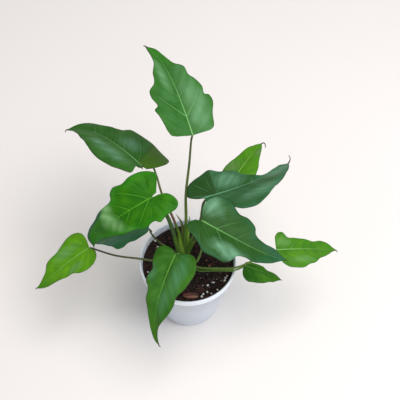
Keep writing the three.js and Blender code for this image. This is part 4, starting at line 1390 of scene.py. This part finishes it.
def make_stalk(name, leaf, blade):
    """A stalk from inside its sheath to its blade, with a small swelling below the blade."""
    way = even_way(stalk_way(leaf, blade), STALK_STEP, leaf["sheath"] - SHEATH_OVERLAP)
    last = len(way) - 1
    knee = 1 - KNEE_LENGTH / max(last * STALK_STEP, 20)
    radii = taper(way, *leaf["radius"])
    radii = [radius * (1 + KNEE_SWELL * ramp(i / last, knee, 1)) for i, radius in enumerate(radii)]
    shell = Shell()
    shell.add(*stem(way, radii, STALK_SIDES))
    skin = stalk_skin(name, *STALK_COLOURS[name])
    return settle(shell.piece(f"stalk_{name}", [skin]), "petiole_green", f"petiole_{name}")


def make_leaf(name, blade, underside):
    shell = blade_shell(blade)
    shell.add(*drip_tip(blade))
    piece = shell.piece(f"blade_{name}", [leaf_skin(name, blade.look), underside])
    return settle(piece, blade.look["slot"], f"leaf_{name}")


def make_plant():
    blades = {name: Blade(leaf, LOOKS[name]) for name, leaf in LEAVES.items()}
    underside = leaf_underside()
    make_crown(blades)
    for name, leaf in LEAVES.items():
        make_stalk(name, leaf, blades[name])
        make_leaf(name, blades[name], underside)


def make_soil_and_grains():
    dark_soil = soil_finish("soil_dark", *DARK_SOIL, coarse=330)
    bark = bark_finish()
    make_soil(dark_soil)
    make_grains(dark_soil, bark)
    make_chip(bark)
    make_rootlets()


def make_camera():
    lens = bpy.data.cameras.new("front_camera")
    lens.lens = CAMERA_LENS
    lens.sensor_width = CAMERA_SENSOR
    camera = put("front_camera", lens)
    camera.location = [c * MM for c in CAMERA_PLACE]
    camera.rotation_euler = (math.radians(90 - CAMERA_TILT), 0, 0)
    bpy.context.scene.camera = camera


def make_floor():
    pale = Finish("pale_floor", Specular_IOR_Level=0.3)
    soft = pale.grain(pale.place(), 3, 3)
    pale.finish(pale.mix(soft, *FLOOR), 0.55 + soft * 0.1)
    mesh = bpy.data.meshes.new("floor")
    square = ((-1, -1), (1, -1), (1, 1), (-1, 1))
    mesh.from_pydata([(x * FLOOR_REACH, y * FLOOR_REACH, 0) for x, y in square], [], [[0, 1, 2, 3]])
    mesh.materials.append(pale.material)
    floor = put("floor", mesh)


def area_light(name, place, aim, size, power, colour):
    """A round panel of light."""
    light = bpy.data.lights.new(name, "AREA")
    light.shape = "DISK"
    light.size = size
    light.energy = power
    light.color = daylight(colour)[:3]
    lamp = put(name, light)
    lamp.location = place
    lamp.rotation_euler = (Vector(aim) - Vector(place)).to_track_quat("-Z", "Y").to_euler()


def make_light():
    world = bpy.data.worlds.new("soft_room")
    bpy.context.scene.world = world
    world.use_nodes = True
    world.node_tree.nodes["Background"].inputs["Color"].default_value = daylight(ROOM_COLOUR)
    world.node_tree.nodes["Background"].inputs["Strength"].default_value = ROOM_STRENGTH
    for name, light in LIGHTS.items():
        area_light(name, *light)
    bpy.context.scene.view_settings.view_transform = "Standard"


make_camera()
make_floor()
make_light()
make_pot()
make_soil_and_grains()
make_plant()
